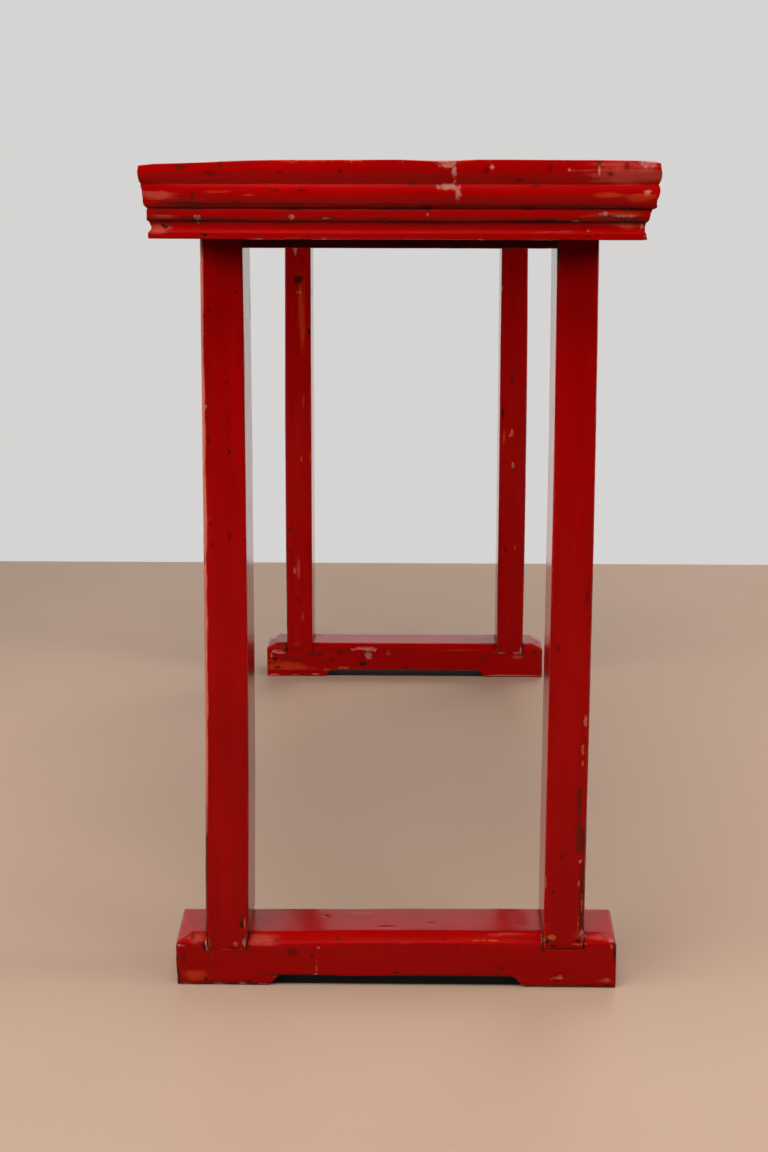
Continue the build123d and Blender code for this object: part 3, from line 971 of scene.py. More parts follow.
@dataclass
class Ageing:
    """What the years did to the pieces: waves, worn arrises, chips, dirt and marks, and painted
    shade in hollows.

    Patches, rubs, nicks, waves and ripples are numbers of cells of noise to a metre.
    """

    wave: float = 0.30 * MM
    ripple: float = 0.10 * MM
    arris_wear: float = 0.55 * MM
    arris_reach: float = 2.2 * MM
    chip_depth: float = 1.2 * MM
    chip_reach: float = 3.0 * MM
    corner_wear: float = 0.7 * MM
    corner_reach: float = 5.0 * MM
    glow_reach: float = 2.6 * MM
    hollow_reach: float = 3.8 * MM
    patches: float = 21.0
    rubs: float = 7.0
    nicks: tuple[float, float] = (115.0, 31.0)
    waves: float = 9.0
    ripples: float = 55.0
    facing_up: float = 0.9
    seed: int = 11
    marks: tuple[Mark, ...] = ()
    dips: tuple[Dip, ...] = ()
    warps: tuple[Warp, ...] = ()
    dip_floor: float = 0.0
    dip_ceiling: float = 1.0
    rough: RoughField = field(init=False)

    def __post_init__(self) -> None:
        """Draws the noise once for all pieces."""
        self.rough = RoughField(self.seed)

    def apply(
        self,
        piece: bpy.types.Object,
        to_end: np.ndarray,
        is_mitred: bool = False,
        wear: float | np.ndarray = 1.0,
    ) -> None:
        """Ages one piece.

        Args:
            piece: the piece, whose mesh carries its distances to arrises and hollows.
            to_end: how far each vertex lies from the piece's end.
            is_mitred: whether the ends are mitred corners, which wear as arrises do.
            wear: how worn the piece is, all over or vertex by vertex.
        """
        mesh = piece.data
        points = read_rows(mesh.vertices, "co")
        normals = read_rows(mesh.vertex_normals, "vector")
        to_arris = read_attribute(mesh, Edge.ARRIS.value)
        to_hollow = read_attribute(mesh, Edge.HOLLOW.value)

        scales = (self.patches, self.rubs, *self.nicks, self.waves, self.ripples)
        patch, rub, fine, broad, wave, ripple = (self.rough.at(points, s) for s in scales)
        patch = np.clip(patch * 0.9 + 0.35, 0.0, 1.0)
        rub = np.clip(rub * 0.8 + 0.55, 0.15, 1.0)
        nick = np.clip(fine * 1.9 + broad - 1.1, 0.0, 1.0)
        inward = self.arris_wear * wear * bell(to_arris, self.arris_reach) * (0.3 + 0.7 * patch)
        inward += self.chip_depth * wear * bell(to_arris, self.chip_reach) * nick
        outward = self.wave * wave + self.ripple * ripple
        moved = points + normals * (outward - inward)[:, None]

        glow = bell(to_arris, self.glow_reach * (0.4 + patch))
        worn = wear * glow * (0.25 + 0.6 * rub * patch + 0.75 * nick)
        if is_mitred:
            near_corner = bell(np.clip(to_end, 0, None), self.corner_reach)
            away = -np.sign(points[:, :2]) / math.sqrt(2)
            eaten = self.corner_wear * wear * near_corner * (0.5 + 0.5 * patch)
            outside = normals[:, 2] ** 2 < self.facing_up
            moved[:, :2] += away * (eaten * outside)[:, None]
            worn = np.maximum(worn, near_corner * outside * wear * (0.15 + 0.4 * rub))
        fade = (points[:, 2] - self.dip_floor) / (self.dip_ceiling - self.dip_floor)
        for dip in self.dips:
            moved[:, 2] -= dip.fall(points) * np.clip(fade, 0.0, 1.0)

        # Dirt and painted shade in the hollows, strongest at a hollow and fading over the hollow
        # reach.
        grime_and_shade = bell(to_hollow, self.hollow_reach) * (0.55 + 0.45 * patch)
        covers = {kind: np.zeros(len(points)) for kind in MarkKind}
        for warp in self.warps:
            moved += warp.shift(points)
        low, high = points.min(axis=0), points.max(axis=0)
        for mark in (mark for mark in self.marks if mark.is_near(low, high)):
            rows, cover = mark.cover(points)
            covers[mark.kind][rows] = np.maximum(covers[mark.kind][rows], cover)
            moved[rows] -= normals[rows] * (mark.depth * np.clip(cover * 2, 0, 1))[:, None]
        moved[:, 2] = np.maximum(moved[:, 2], 0.0)
        mesh.vertices.foreach_set("co", moved.ravel())
        write_attribute(mesh, "grime_and_shade", grime_and_shade)
        write_attribute(mesh, "wear", worn)
        for kind, cover in covers.items():
            write_attribute(mesh, kind.value, cover)
        for kind in (Edge.ARRIS, Edge.HOLLOW):
            mesh.attributes.remove(mesh.attributes[kind.value])
        smooth(mesh)


def smooth(mesh: bpy.types.Mesh, sharper_than: float = math.radians(38.0)) -> None:
    """Shades a mesh smooth, with sharp edges where its faces turn."""
    mesh.update()
    mesh.shade_smooth()
    mesh.set_sharp_from_angle(angle=sharper_than)


# ---- sub-assemblies ----


@dataclass
class Workshop:
    """What every sub-assembly is made with."""

    sweep: Sweep
    ageing: Ageing

    def fit(self, piece: bpy.types.Object, slot: Slot, node: str) -> None:
        """Puts a finished piece in its node's place.

        Args:
            piece: the piece.
            slot: the record's slot of its finish; not used.
            node: the node that it stands for.
        """
        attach(piece, "root")
        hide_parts(node)
        log.info("%s: %d faces", piece.name, len(piece.data.polygons))

    def shape(self, stick: Stick, slot: Slot, wear: float, taper: "Taper | None" = None) -> None:
        """Draws, tapers, ages and fits a straight piece.

        Args:
            stick: the piece.
            slot: the record's slot of its finish.
            wear: how worn it is.
            taper: how it thickens towards the floor, where it does.
        """
        piece = self.sweep.draw(stick)
        points = read_rows(piece.data.vertices, "co")
        to_end = stick.to_end(points)
        if taper:
            taper.apply(piece.data, points)
        self.ageing.apply(piece, to_end, stick.is_mitred, wear)
        self.fit(piece, slot, stick.node)


def run_box(node: str, turn: Euler) -> tuple[tuple[float, float], ...]:
    """A node's low and high place along, out from and up from its run."""
    corners = [turn.to_matrix().transposed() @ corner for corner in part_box(node)]
    return tuple(tuple(sorted(places)) for places in zip(*corners))


@dataclass
class MouldedEdge:
    """The mitred top frame and the two strips under it, all moulded on their outer side.

    The slices say how finely each side is cut along its run: finest where the most marks are.
    """

    top_round: float = 1.0 * MM
    seam_round: float = 0.5 * MM
    fascia_height: float = 9.0 * MM
    roll_height: float = 11.7 * MM
    roll_bulge: float = 0.5 * MM
    crease_setback: float = 4.0 * MM
    round_height: float = 13.6 * MM
    round_bulge: float = 1.7 * MM
    round_low_setback: float = 2.5 * MM
    under_bulge: float = 1.2 * MM
    round_foot_setback: float = 8.6 * MM
    bead_head_setback: float = 9.2 * MM
    bead_foot_setback: float = 12.6 * MM
    bead_bulge: float = 3.3 * MM
    flare_head_setback: float = 12.4 * MM
    flare_height: float = 10.5 * MM
    flare_hollow: float = 1.6 * MM
    lip_setback: float = 10.5 * MM
    lip_round: float = 1.2 * MM
    wear: float = 0.65
    slices: dict[Side, float] = field(
        default_factory=lambda: {
            Side.BACK: 2.7 * MM,
            Side.LEFT: 2.2 * MM,
            Side.FRONT: 2.7 * MM,
            Side.RIGHT: 1.1 * MM,
        }
    )

    def build(self, shop: Workshop) -> None:
        """Builds the three tiers on all four sides."""
        reach_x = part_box("top_rail_right")[1].x
        reach_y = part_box("top_rail_back")[1].y
        tiers = {"top_rail": self.rail, "bead_strip": self.bead, "base_moulding": self.base}
        for side in Side:
            fascia, half = (reach_x, reach_y) if side.is_short else (reach_y, reach_x)
            axis, grain = (0, Grain.Y) if side.is_short else (1, Grain.X)
            turn, finish = Euler((0.0, 0.0, side.value)), MOULDING_LACQUER.material(grain)
            for tier, section in tiers.items():
                node = f"{tier}_{side.name.lower()}"
                low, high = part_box(node)
                outer = max(-low[axis], high[axis])
                shape = section(fascia, outer - (high[axis] - low[axis]), low.z, high.z)
                fineness = self.slices[side]
                stick = Stick(node, shape, turn, half, fineness, finish, 0.0, True, fascia)
                shop.shape(stick, Slot.MOULDING, self.wear)

    def rail(self, fascia: float, inner: float, bottom: float, top: float) -> Section:
        """Section of a top rail: flat top, fascia that rolls under, and round.

        Args:
            fascia: the outer face, from the table's middle.
            inner: the inner face, from the table's middle.
            bottom: the underside's height.
            top: the top's height.

        Returns:
            The section.
        """
        roll_head = top - self.fascia_height
        crease = roll_head - self.roll_height
        round_low = fascia - self.round_low_setback
        round_foot = fascia - self.round_foot_setback
        return Section(
            (
                Corner(inner, bottom),
                Corner(round_foot, bottom, Edge.HOLLOW, 0.0, self.under_bulge),
                Corner(round_low, crease - self.round_height, Edge.PLAIN, 0.0, self.round_bulge),
                Corner(fascia - self.crease_setback, crease, Edge.PLAIN, 0.0, self.roll_bulge),
                Corner(fascia, roll_head, Edge.PLAIN, 0.0),
                Corner(fascia, top, Edge.ARRIS, self.top_round),
                Corner(inner, top, Edge.HOLLOW, self.seam_round),
            )
        )

    def bead(self, fascia: float, inner: float, bottom: float, top: float) -> Section:
        """Section of a bead strip, rounded on its outer side."""
        return Section(
            (
                Corner(inner, bottom),
                Corner(fascia - self.bead_foot_setback, bottom, Edge.HOLLOW, 0.0, self.bead_bulge),
                Corner(fascia - self.bead_head_setback, top, Edge.HOLLOW, 0.0),
                Corner(inner, top),
            )
        )

    def base(self, fascia: float, inner: float, bottom: float, top: float) -> Section:
        """Section of a base moulding, which flares out to its lip."""
        lip = fascia - self.lip_setback
        return Section(
            (
                Corner(inner, bottom),
                Corner(lip, bottom, Edge.ARRIS, self.lip_round),
                Corner(lip, top - self.flare_height, Edge.PLAIN, 0.0, -self.flare_hollow),
                Corner(fascia - self.flare_head_setback, top, Edge.HOLLOW, 0.0),
                Corner(inner, top),
            )
        )


@dataclass
class PanelBoards:
    """The boards of the floating panel, flush with the top frame."""

    tongue: float = 8.0 * MM
    panel_gap: float = 0.5 * MM
    arris_round: float = 0.6 * MM
    slice: float = 4.0 * MM
    top_step: float = 4.0 * MM
    wear: float = 0.55

    def build(self, shop: Workshop) -> None:
        """Builds the three boards."""
        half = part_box("top_rail_right")[0].x - self.panel_gap
        for place in ("front", "middle", "back"):
            node = f"panel_board_{place}"
            low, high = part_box(node)
            near = low.y + (self.tongue if place == "front" else 0.0)
            out, steps = (near, high.y - self.tongue), (0.0, 0.0, self.top_step, 0.0)
            section = plank(out, (low.z, high.z), (self.arris_round,) * 4, steps)
            turn, finish = Euler(Run.ALONG.value), PANEL_LACQUER.material(Grain.X)
            shop.shape(Stick(node, section, turn, half, self.slice, finish), Slot.PANEL, self.wear)


@dataclass(frozen=True)
class Taper:
    """How a leg's outer face leans out towards the floor."""

    inner_y: float
    head_y: float
    foot_y: float
    head_z: float
    foot_z: float

    def apply(self, mesh: bpy.types.Mesh, points: np.ndarray) -> None:
        """Moves a leg's vertices, drawn at the foot's width, to the width at their height."""
        side = np.sign(points[:, 1])
        depth = (np.abs(points[:, 1]) - self.inner_y) / (self.foot_y - self.inner_y)
        drop = (self.head_z - points[:, 2]) / (self.head_z - self.foot_z)
        width = (self.head_y - self.inner_y) + drop * (self.foot_y - self.head_y)
        points[:, 1] = side * (self.inner_y + depth * width)
        mesh.vertices.foreach_set("co", points.ravel())
        mesh.update()


@dataclass
class Legs:
    """The four legs, square-edged and a little thicker at the foot."""

    head_width: float = 40.5 * MM
    housing: float = 14.0 * MM
    outer_round: tuple[float, float] = (3.8 * MM, 7.0 * MM)
    inner_round: float = 1.3 * MM
    face_step: float = 1.3 * MM
    near_slice: float = 1.6 * MM
    far_slice: float = 3.0 * MM
    wear: float = 0.9

    def build(self, shop: Workshop) -> None:
        """Builds the legs between the foot rails and the top frame."""
        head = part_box("top_rail_right")[0].z
        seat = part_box("foot_rail_right")[1].z - self.housing
        for end, side in itertools.product(("left", "right"), ("front", "back")):
            node = f"leg_{side}_{end}"
            turn = Euler(Run.UPRIGHT.value)
            _, out, up = run_box(node, turn)
            across, along = self.outer_round
            inner = self.inner_round
            rounds = (inner, (across, along), (along, across), inner)
            if side == "front":
                rounds = ((along, across), inner, inner, (across, along))
            steps = (self.face_step, 0.0, self.face_step, 0.0)
            fineness = self.near_slice if end == "right" else self.far_slice
            half, middle = (head - seat) / 2, (head + seat) / 2
            shape, finish = plank(out, up, rounds, steps), FRAME_LACQUER.material(Grain.Z)
            stick = Stick(node, shape, turn, half, fineness, finish, middle)
            inner_y, foot_y = sorted(abs(place) for place in out)
            taper = Taper(inner_y, inner_y + self.head_width, foot_y, head, seat)
            shop.shape(stick, Slot.FRAME, self.wear, taper)


@dataclass
class Rails:
    """The rails under the top: one across each pair of legs and two along the table."""

    arris_round: float = 1.2 * MM
    slice: float = 6.0 * MM
    wear: float = 0.3

    def build(self, shop: Workshop) -> None:
        """Builds the head rails and the under rails, between the legs' inner faces."""
        leg_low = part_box("leg_back_right")[0]
        for end in ("left", "right"):
            self._rail(shop, f"head_rail_{end}", Run.ACROSS, leg_low.y)
        for side in ("front", "back"):
            self._rail(shop, f"under_rail_{side}", Run.ALONG, leg_low.x)

    def _rail(self, shop: Workshop, node: str, run: Run, half: float) -> None:
        """Builds one rail, centred under the top."""
        turn = Euler(run.value)
        _, out, up = run_box(node, turn)
        # Painted shade: the rails take the darker copy of the lacquer.
        finish = SHADED_UNDER_LACQUER.material(Grain.X if run is Run.ALONG else Grain.Y)
        section = plank(out, up, (self.arris_round,) * 4)
        stick = Stick(node, section, turn, half, self.slice, finish)
        shop.shape(stick, Slot.FRAME, self.wear)


@dataclass
class FootRails:
    """The shoes under each pair of legs: chamfered above, arched between two pads below."""

    chamfer_run: float = 12.0 * MM
    chamfer_drop: float = 9.0 * MM
    housing: float = 14.0 * MM
    pad_length: float = 95.0 * MM
    arch_height: float = 11.0 * MM
    shoulder_run: float = 14.0 * MM
    end_round: float = 2.5 * MM
    hip_run: float = 14.0 * MM
    face_step: float = 1.3 * MM
    arris_round: float = 1.4 * MM
    leg_gap: float = 0.15 * MM
    near_slice: float = 1.4 * MM
    far_slice: float = 2.5 * MM
    cap_shares: tuple[float, ...] = (0.02, 0.2, 0.4, 0.6, 0.78, 0.9)
    end_steps: tuple[float, ...] = (0.0, 0.4 * MM, 1.1 * MM, 2.5 * MM)
    # Near a leg's seat the foot rail darkens with dirt and painted shade, down to this depth.
    hollow_depth: float = 4.0 * MM
    wear: float = 0.55
    sole_wear: float = 1.3
    sole_height: float = 9.0 * MM

    def build(self, shop: Workshop) -> None:
        """Builds both foot rails."""
        hips = {"left": (1.0, 0.8), "right": (0.0, 1.0)}
        for end, its_hips in hips.items():
            node = f"foot_rail_{end}"
            slice_length = self.near_slice if end == "right" else self.far_slice
            piece, to_end = self._draw(node, its_hips, slice_length)
            piece.data.materials.append(FRAME_LACQUER.material(Grain.Y))
            heights = np.array([v.co.z for v in piece.data.vertices])
            sole = np.clip(1 - heights / self.sole_height, 0.0, 1.0)
            wear = self.wear + (self.sole_wear - self.wear) * sole
            shop.ageing.apply(piece, to_end, False, wear)
            shop.fit(piece, Slot.FRAME, node)

    def _stations(
        self, reach: float, walls: tuple[float, float], slice_length: float
    ) -> list[tuple[float, float, bool]]:
        """Places of the rings from one end to the other.

        Args:
            reach: how far the foot rail reaches each way.
            walls: the near and far wall of a leg's housing.
            slice_length: how far apart the rings stand.

        Returns:
            Rows of (place along, share of the section's size, whether it is cut for a leg).
        """
        half = [(reach, share, False) for share in self.cap_shares]
        half += [(reach - step, 1.0, False) for step in self.end_steps]
        body, (low, high) = reach - self.end_steps[-1], walls
        for start, stop, is_cut in ((body, high, False), (high, low, True), (low, 0.0, False)):
            steps = math.ceil((start - stop) / slice_length)
            for i in range(1 if start == body else 0, steps + 1):
                half.append((start + (stop - start) * i / steps, 1.0, is_cut))
        return half + [(-place, share, is_cut) for place, share, is_cut in reversed(half[:-1])]

    def _arch(self, place: float, pad_inner: float) -> float:
        """Height of the underside, with its double curve from each pad to the arch."""
        share = (pad_inner - abs(place)) / self.shoulder_run
        share = min(max(share, 0.0), 1.0)
        return self.arch_height * share * share * (3 - 2 * share)

    def _hip(self, sides: np.ndarray, left: float, hips: tuple[float, float]) -> np.ndarray:
        """How far the top falls towards a cut corner at the end of the foot rail.

        Args:
            sides: each point's place from -1 at the -X face to 1 at the +X face.
            left: how far the ring stands from the end.
            hips: how much of the -X and of the +X corner is cut.

        Returns:
            The fall of each point.
        """
        sloped = (1 + sides) / 2
        flat_share = 1 - self.chamfer_run / (2 * self.chamfer_run + self.hip_run)
        lost = self.chamfer_drop * flat_share * left / self.hip_run
        falls = zip(hips, (1 - sloped, sloped))
        return np.maximum(*(h * np.clip(self.chamfer_drop * s - lost, 0.0, None) for h, s in falls))

    def _draw(
        self, node: str, hips: tuple[float, float], slice_length: float
    ) -> tuple[bpy.types.Object, np.ndarray]:
        """Builds one foot rail as a closed shell of rings.

        Args:
            node: the node that it stands for.
            hips: how much of the -X and of the +X top corner is cut at the ends.
            slice_length: how far apart its rings stand.

        Returns:
            The piece, and each vertex's distance from the nearer end.
        """
        low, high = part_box(node)
        leg_low, leg_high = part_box("leg_back_right")
        middle, half, top = (low.x + high.x) / 2, (high.x - low.x) / 2, high.z
        shoulder = top - self.chamfer_drop
        flat = half - self.chamfer_run
        right = ((half, 0), (half, shoulder), (flat, top))
        places = ((-half, 0), *right, (-flat, top), (-half, shoulder))
        fine = (0.0, self.face_step, self.face_step, self.face_step * 2, 0.0, 0.0)
        rounded = functools.partial(Corner, round=self.arris_round)
        corners = tuple(rounded(*place, step=step) for place, step in zip(places, fine))
        outline, distances = Section(corners).trace()
        seat = top - self.housing
        walls = (leg_low.y - self.leg_gap, leg_high.y + self.leg_gap)
        rows, arrises, hollows, ends = [], [], [], []
        for place, share, is_cut in self._stations(high.y, walls, slice_length):
            ring = outline.copy()
            left = high.y - abs(place)
            eaten = max(0.0, self.end_round - left)
            inset = self.end_round - math.sqrt(self.end_round**2 - eaten**2)
            ring[:, 0] *= (1 - inset / half) * share
            ceiling = top - inset - self._hip(outline[:, 0] / half, left, hips)
            heights = np.minimum(ring[:, 1], ceiling)
            lift = self._arch(place, high.y - self.pad_length)
            below = heights < shoulder
            heights[below] = lift + heights[below] * (shoulder - lift) / shoulder
            if is_cut:
                heights = np.minimum(heights, seat)
            centre = top / 2
            heights = centre + (heights - centre) * share
            rows += [(middle + x, place, z) for x, z in zip(ring[:, 0], heights)]
            edge = (1 - share) * half + left
            is_cap = share < 1
            arrises += [edge if is_cap else min(edge, apart) for apart in distances[Edge.ARRIS]]
            to_leg = min(abs(abs(place) - wall) for wall in walls)
            near_seat = (heights > seat - self.hollow_depth) & (not is_cap)
            hollows += list(np.where(near_seat, to_leg, half))
            ends += [left] * len(outline)
        count = len(outline)
        last = len(rows) - count
        faces = [
            (ring + i, ring + j, ring + count + j, ring + count + i)
            for ring in range(0, last, count)
            for i, j in zip(range(count), (*range(1, count), 0))
        ]
        faces += [tuple(range(count)), tuple(range(last, last + count))]
        mesh = bpy.data.meshes.new(node)
        mesh.from_pydata(rows, [], faces)
        write_attribute(mesh, Edge.ARRIS.value, arrises)
        write_attribute(mesh, Edge.HOLLOW.value, hollows)
        write_attribute(mesh, "to_end", ends)
        self._close(mesh)
        to_end = read_attribute(mesh, "to_end")
        mesh.attributes.remove(mesh.attributes["to_end"])
        return link_piece(node, mesh), to_end

    @staticmethod
    def _close(mesh: bpy.types.Mesh) -> None:
        """Merges doubled vertices, drops empty faces and turns all faces outwards."""
        shell = bmesh.new()
        shell.from_mesh(mesh)
        bmesh.ops.remove_doubles(shell, verts=shell.verts, dist=DOUBLED)
        bmesh.ops.dissolve_degenerate(shell, edges=shell.edges, dist=EMPTY)
        bmesh.ops.recalc_face_normals(shell, faces=shell.faces)
        shell.to_mesh(mesh)
        shell.free()
        mesh.update()


@dataclass
class BareWood:
    """The pieces whose solids show as they are: battens, pins and wedges."""

    def dress(self) -> None:
        """Gives each node its finish."""
        finishes = {
            BATTEN_WOOD: [f"panel_batten_{i}" for i in range(1, 5)],
            BAMBOO: ["mitre_pins", "moulding_pins"],
            WEDGE_WOOD: ["foot_wedges"],
        }
        for finish, nodes in finishes.items():
            material = finish.material()
            for node in nodes:
                solid = frame["nodes"][node]
                solid.data.materials.clear()
                solid.data.materials.append(material)
                log.info("%s: %s", node, finish.slot.value)


# ---- studio ----


@dataclass(frozen=True)
class Softbox:
    """One large soft lamp that faces a point and shows in no gloss."""

    name: str
    at: Point
    aim: Point
    size: tuple[float, float]
    power: float
    colour: Colour = (1.0, 0.985, 0.965)

    def hang(self) -> None:
        """Puts the lamp in the scene."""
        lamp = bpy.data.lights.new(self.name, "AREA")
        lamp.shape = "RECTANGLE"
        lamp.size, lamp.size_y = self.size
        lamp.energy = self.power
        lamp.color = self.colour
        holder = link_object(self.name, lamp)
        holder.location = self.at
        holder.visible_glossy = False
        way = Vector(self.aim) - Vector(self.at)
        holder.rotation_euler = way.to_track_quat("-Z", "Y").to_euler()


@dataclass
class Studio:
    """A pale floor and wall, soft lamps, a pale surround and the camera."""

    floor_reach: float = 6.0
    floor_fade: tuple[float, float] = (2.1, 3.3)
    mirror_fade: tuple[float, float] = (0.5, -0.5)
    wall_x: float = -1.62
    wall_height: float = 5.0
    floor_drop: float = 0.2 * MM
    floor_shade: float = 0.94
    floor_roughness: float = 0.55
    # A painted shadow on the floor under each foot rail's arch: how far it keeps inside the rail,
    # how soft its edge is, how far it reaches, and its colour.
    arch_shadow_inset: float = 7.0 * MM
    arch_shadow_softness: float = 2.0 * MM
    arch_shadow_reach: float = 0.98
    painted_arch_shadow: Colour = (0.006, 0.004, 0.003)
    floor_colour: Colour = (0.46, 0.315, 0.228)
    floor_bounce: Colour = (0.14, 0.11, 0.09)
    background: Colour = (0.67, 0.66, 0.65)
    ambient: float = 0.045
    glossy_wall: Colour = (0.80, 0.775, 0.75)
    glossy_dark: Colour = (0.02, 0.02, 0.02)
    dark_slant: float = 0.5
    dark_rim: tuple[float, float] = (-0.35, 0.35)
    camera_at: Point = (2.7667, 0.0197, 0.8524)
    camera_yaw: float = 0.0162
    camera_pitch: float = 0.1982
    camera_roll: float = 0.0018
    lens: float = 64.91
    sensor: float = 36.0
    softboxes: tuple[Softbox, ...] = (
        Softbox("softbox_front_left", (3.25, -2.3, 1.65), (0.6, 0.0, 0.4), (1.8, 0.9), 51.0),
        Softbox("softbox_left", (1.7, -3.0, 1.9), (0.2, 0.0, 0.5), (1.8, 1.3), 42.0),
        Softbox("softbox_front_right", (3.2, 2.4, 2.0), (0.5, 0.0, 0.5), (1.3, 0.9), 24.0),
        Softbox("softbox_above", (1.3, -0.1, 2.25), (0.6, 0.0, 0.3), (0.9, 1.6), 35.0),
        Softbox("softbox_right", (0.75, 2.5, 2.1), (-0.5, 0.1, 0.2), (1.5, 1.2), 42.0),
        Softbox("softbox_far_left", (0.4, -2.2, 1.9), (-0.6, 0.0, 0.35), (1.0, 0.8), 8.0),
        Softbox("softbox_back", (-2.7, 0.9, 2.4), (-0.5, 0.0, 0.4), (1.6, 1.6), 45.0),
    )

    def build(self) -> None:
        """Sets up everything round the table."""
        self._floor()
        self._wall()
        self._world()
        self._camera()
        for softbox in self.softboxes:
            softbox.hang()
        bpy.context.scene.view_settings.view_transform = "Standard"

    @staticmethod
    def _rays(tree: NodeTree, *kinds: str) -> Value:
        """1 for rays of the named kinds, else 0."""
        rays = tree.make("ShaderNodeLightPath")
        found = [tree.value(rays, f"Is {kind} Ray") for kind in kinds]
        return functools.reduce(Value.over, found)

    @staticmethod
    def _plane(
        material: bpy.types.Material,
        tree: NodeTree,
        rim: list[Point],
        front: bpy.types.Node,
        passing: Number = 0.0,
    ) -> None:
        """Lays one flat piece of the studio, which shows from its front only.

        Args:
            material: its material, whose name it takes.
            tree: the material's tree.
            rim: its four corners in order.
            front: what its front shows.
            passing: 1 for the rays that go through its front too.
        """
        behind = tree.value(tree.make("ShaderNodeNewGeometry"), "Backfacing")
        clear = tree.make("ShaderNodeBsdfTransparent")
        shares = {0: behind.over(passing), 1: front, 2: clear}
        surface = tree.make("ShaderNodeMixShader", shares)
        tree.make("ShaderNodeOutputMaterial", {"Surface": surface})
        mesh = bpy.data.meshes.new(material.name)
        mesh.from_pydata(rim, [], [(0, 1, 2, 3)])
        mesh.materials.append(material)
        link_object(material.name, mesh)

    def _floor(self) -> None:
        """Lays a plain floor, painted near black as shadow under the foot rails' arches, and lost
        in the pale far off.

        From below it is clear, so that the underside of the table can be looked at.
        """
        material, tree = new_material("floor")
        place = tree.place()
        x, y, _ = tree.axes(place)
        shade = tuple(c * self.floor_shade for c in self.floor_colour)
        colour = tree.blend(tree.noise(place, FLOOR_TONE), self.floor_colour, shade)
        seen = self._rays(tree, "Camera", "Glossy", "Transmission")
        colour = tree.blend(seen, self.floor_bounce, colour)
        # Painted shadow: near black within each foot rail's footprint, seen only through the arch.
        low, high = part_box("foot_rail_right")
        near, far = low.x + self.arch_shadow_inset, high.x - self.arch_shadow_inset
        soft = self.arch_shadow_softness
        across = (x * x).band((near - soft) ** 2, (near + soft) ** 2)
        across = across * (x * x).band((far + soft) ** 2, (far - soft) ** 2)
        dark = across * (y * y).band(high.y**2, high.y**2 * self.arch_shadow_reach)
        colour = tree.blend(dark, colour, self.painted_arch_shadow)
        paint = {"Base Color": colour, "Roughness": self.floor_roughness}
        pale = tree.make("ShaderNodeEmission", {"Color": opaque(self.background)})
        mirrored = self._rays(tree, "Glossy") * x.band(*self.mirror_fade)
        far_off = (x * x + y * y).band(*(reach**2 for reach in self.floor_fade))
        far_off = far_off * self._rays(tree, "Camera", "Transmission").over(mirrored)
        plain = tree.make("ShaderNodeBsdfPrincipled", paint)
        top = tree.make("ShaderNodeMixShader", {0: far_off, 1: plain, 2: pale})
        reach, down = self.floor_reach, -self.floor_drop
        ways = ((-1, -1), (1, -1), (1, 1), (-1, 1))
        rim = [(reach * x_way, reach * y_way, down) for x_way, y_way in ways]
        self._plane(material, tree, rim, top)

    def _wall(self) -> None:
        """Stands a pale wall behind the table, which shows from its front only."""
        material, tree = new_material("wall")
        colour = tree.blend(self._rays(tree, "Glossy"), self.background, self.glossy_wall)
        front = tree.make("ShaderNodeEmission", {"Color": colour})
        seen = self._rays(tree, "Camera", "Glossy", "Transmission")
        x, reach, high, down = self.wall_x, self.floor_reach, self.wall_height, -self.floor_drop
        rim = [(x, -reach, down), (x, reach, down), (x, reach, high), (x, -reach, high)]
        self._plane(material, tree, rim, front, 1.0 - seen)

    def _world(self) -> None:
        """A pale surround, seen paler by the camera and darker in gloss behind the camera."""
        world = bpy.data.worlds.new("studio")
        world.use_nodes = True
        bpy.context.scene.world = world
        tree = NodeTree(world.node_tree)
        x, y, _ = tree.axes(tree.make("ShaderNodeTexCoord").outputs["Generated"])
        behind_camera = (x + y * self.dark_slant).band(*self.dark_rim)
        gloss = tree.blend(behind_camera, self.glossy_wall, self.glossy_dark)
        colour = tree.blend(self._rays(tree, "Glossy"), (self.ambient,) * 3, gloss)
        seen = self._rays(tree, "Camera", "Transmission")
        colour = tree.blend(seen, colour, self.background)
        light = tree.make("ShaderNodeBackground", {"Color": colour})
        tree.make("ShaderNodeOutputWorld", {"Surface": light})

    def _camera(self) -> None:
        """Sets the camera level with the top, in front of one end of the table."""
        camera = bpy.data.cameras.new("camera")
        camera.lens = self.lens
        camera.sensor_width = self.sensor
        holder = link_object("camera", camera)
        turn = (
            Matrix.Rotation(math.pi / 2 + self.camera_yaw, 4, "Z")
            @ Matrix.Rotation(math.pi / 2 - self.camera_pitch, 4, "X")
            @ Matrix.Rotation(self.camera_roll, 4, "Z")
        )
        holder.matrix_world = Matrix.Translation(self.camera_at) @ turn
        bpy.context.scene.camera = holder


# ---- the years, with painted highlights, sheen and shade ----


class Face(Enum):
    """A face that carries marks: the moulded end, the near legs and foot, the far ones."""

    END = "top_rail_right"
    NEAR = "leg_back_right"
    FAR = "leg_back_left"

    @property
    def x(self) -> float:
        """Where the face stands along the table."""
        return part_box(self.value)[1].x


MARK_SPREAD = 1.8
MARK_DEPTH = {Face.END: 0.03, Face.NEAR: 0.016, Face.FAR: 0.016}

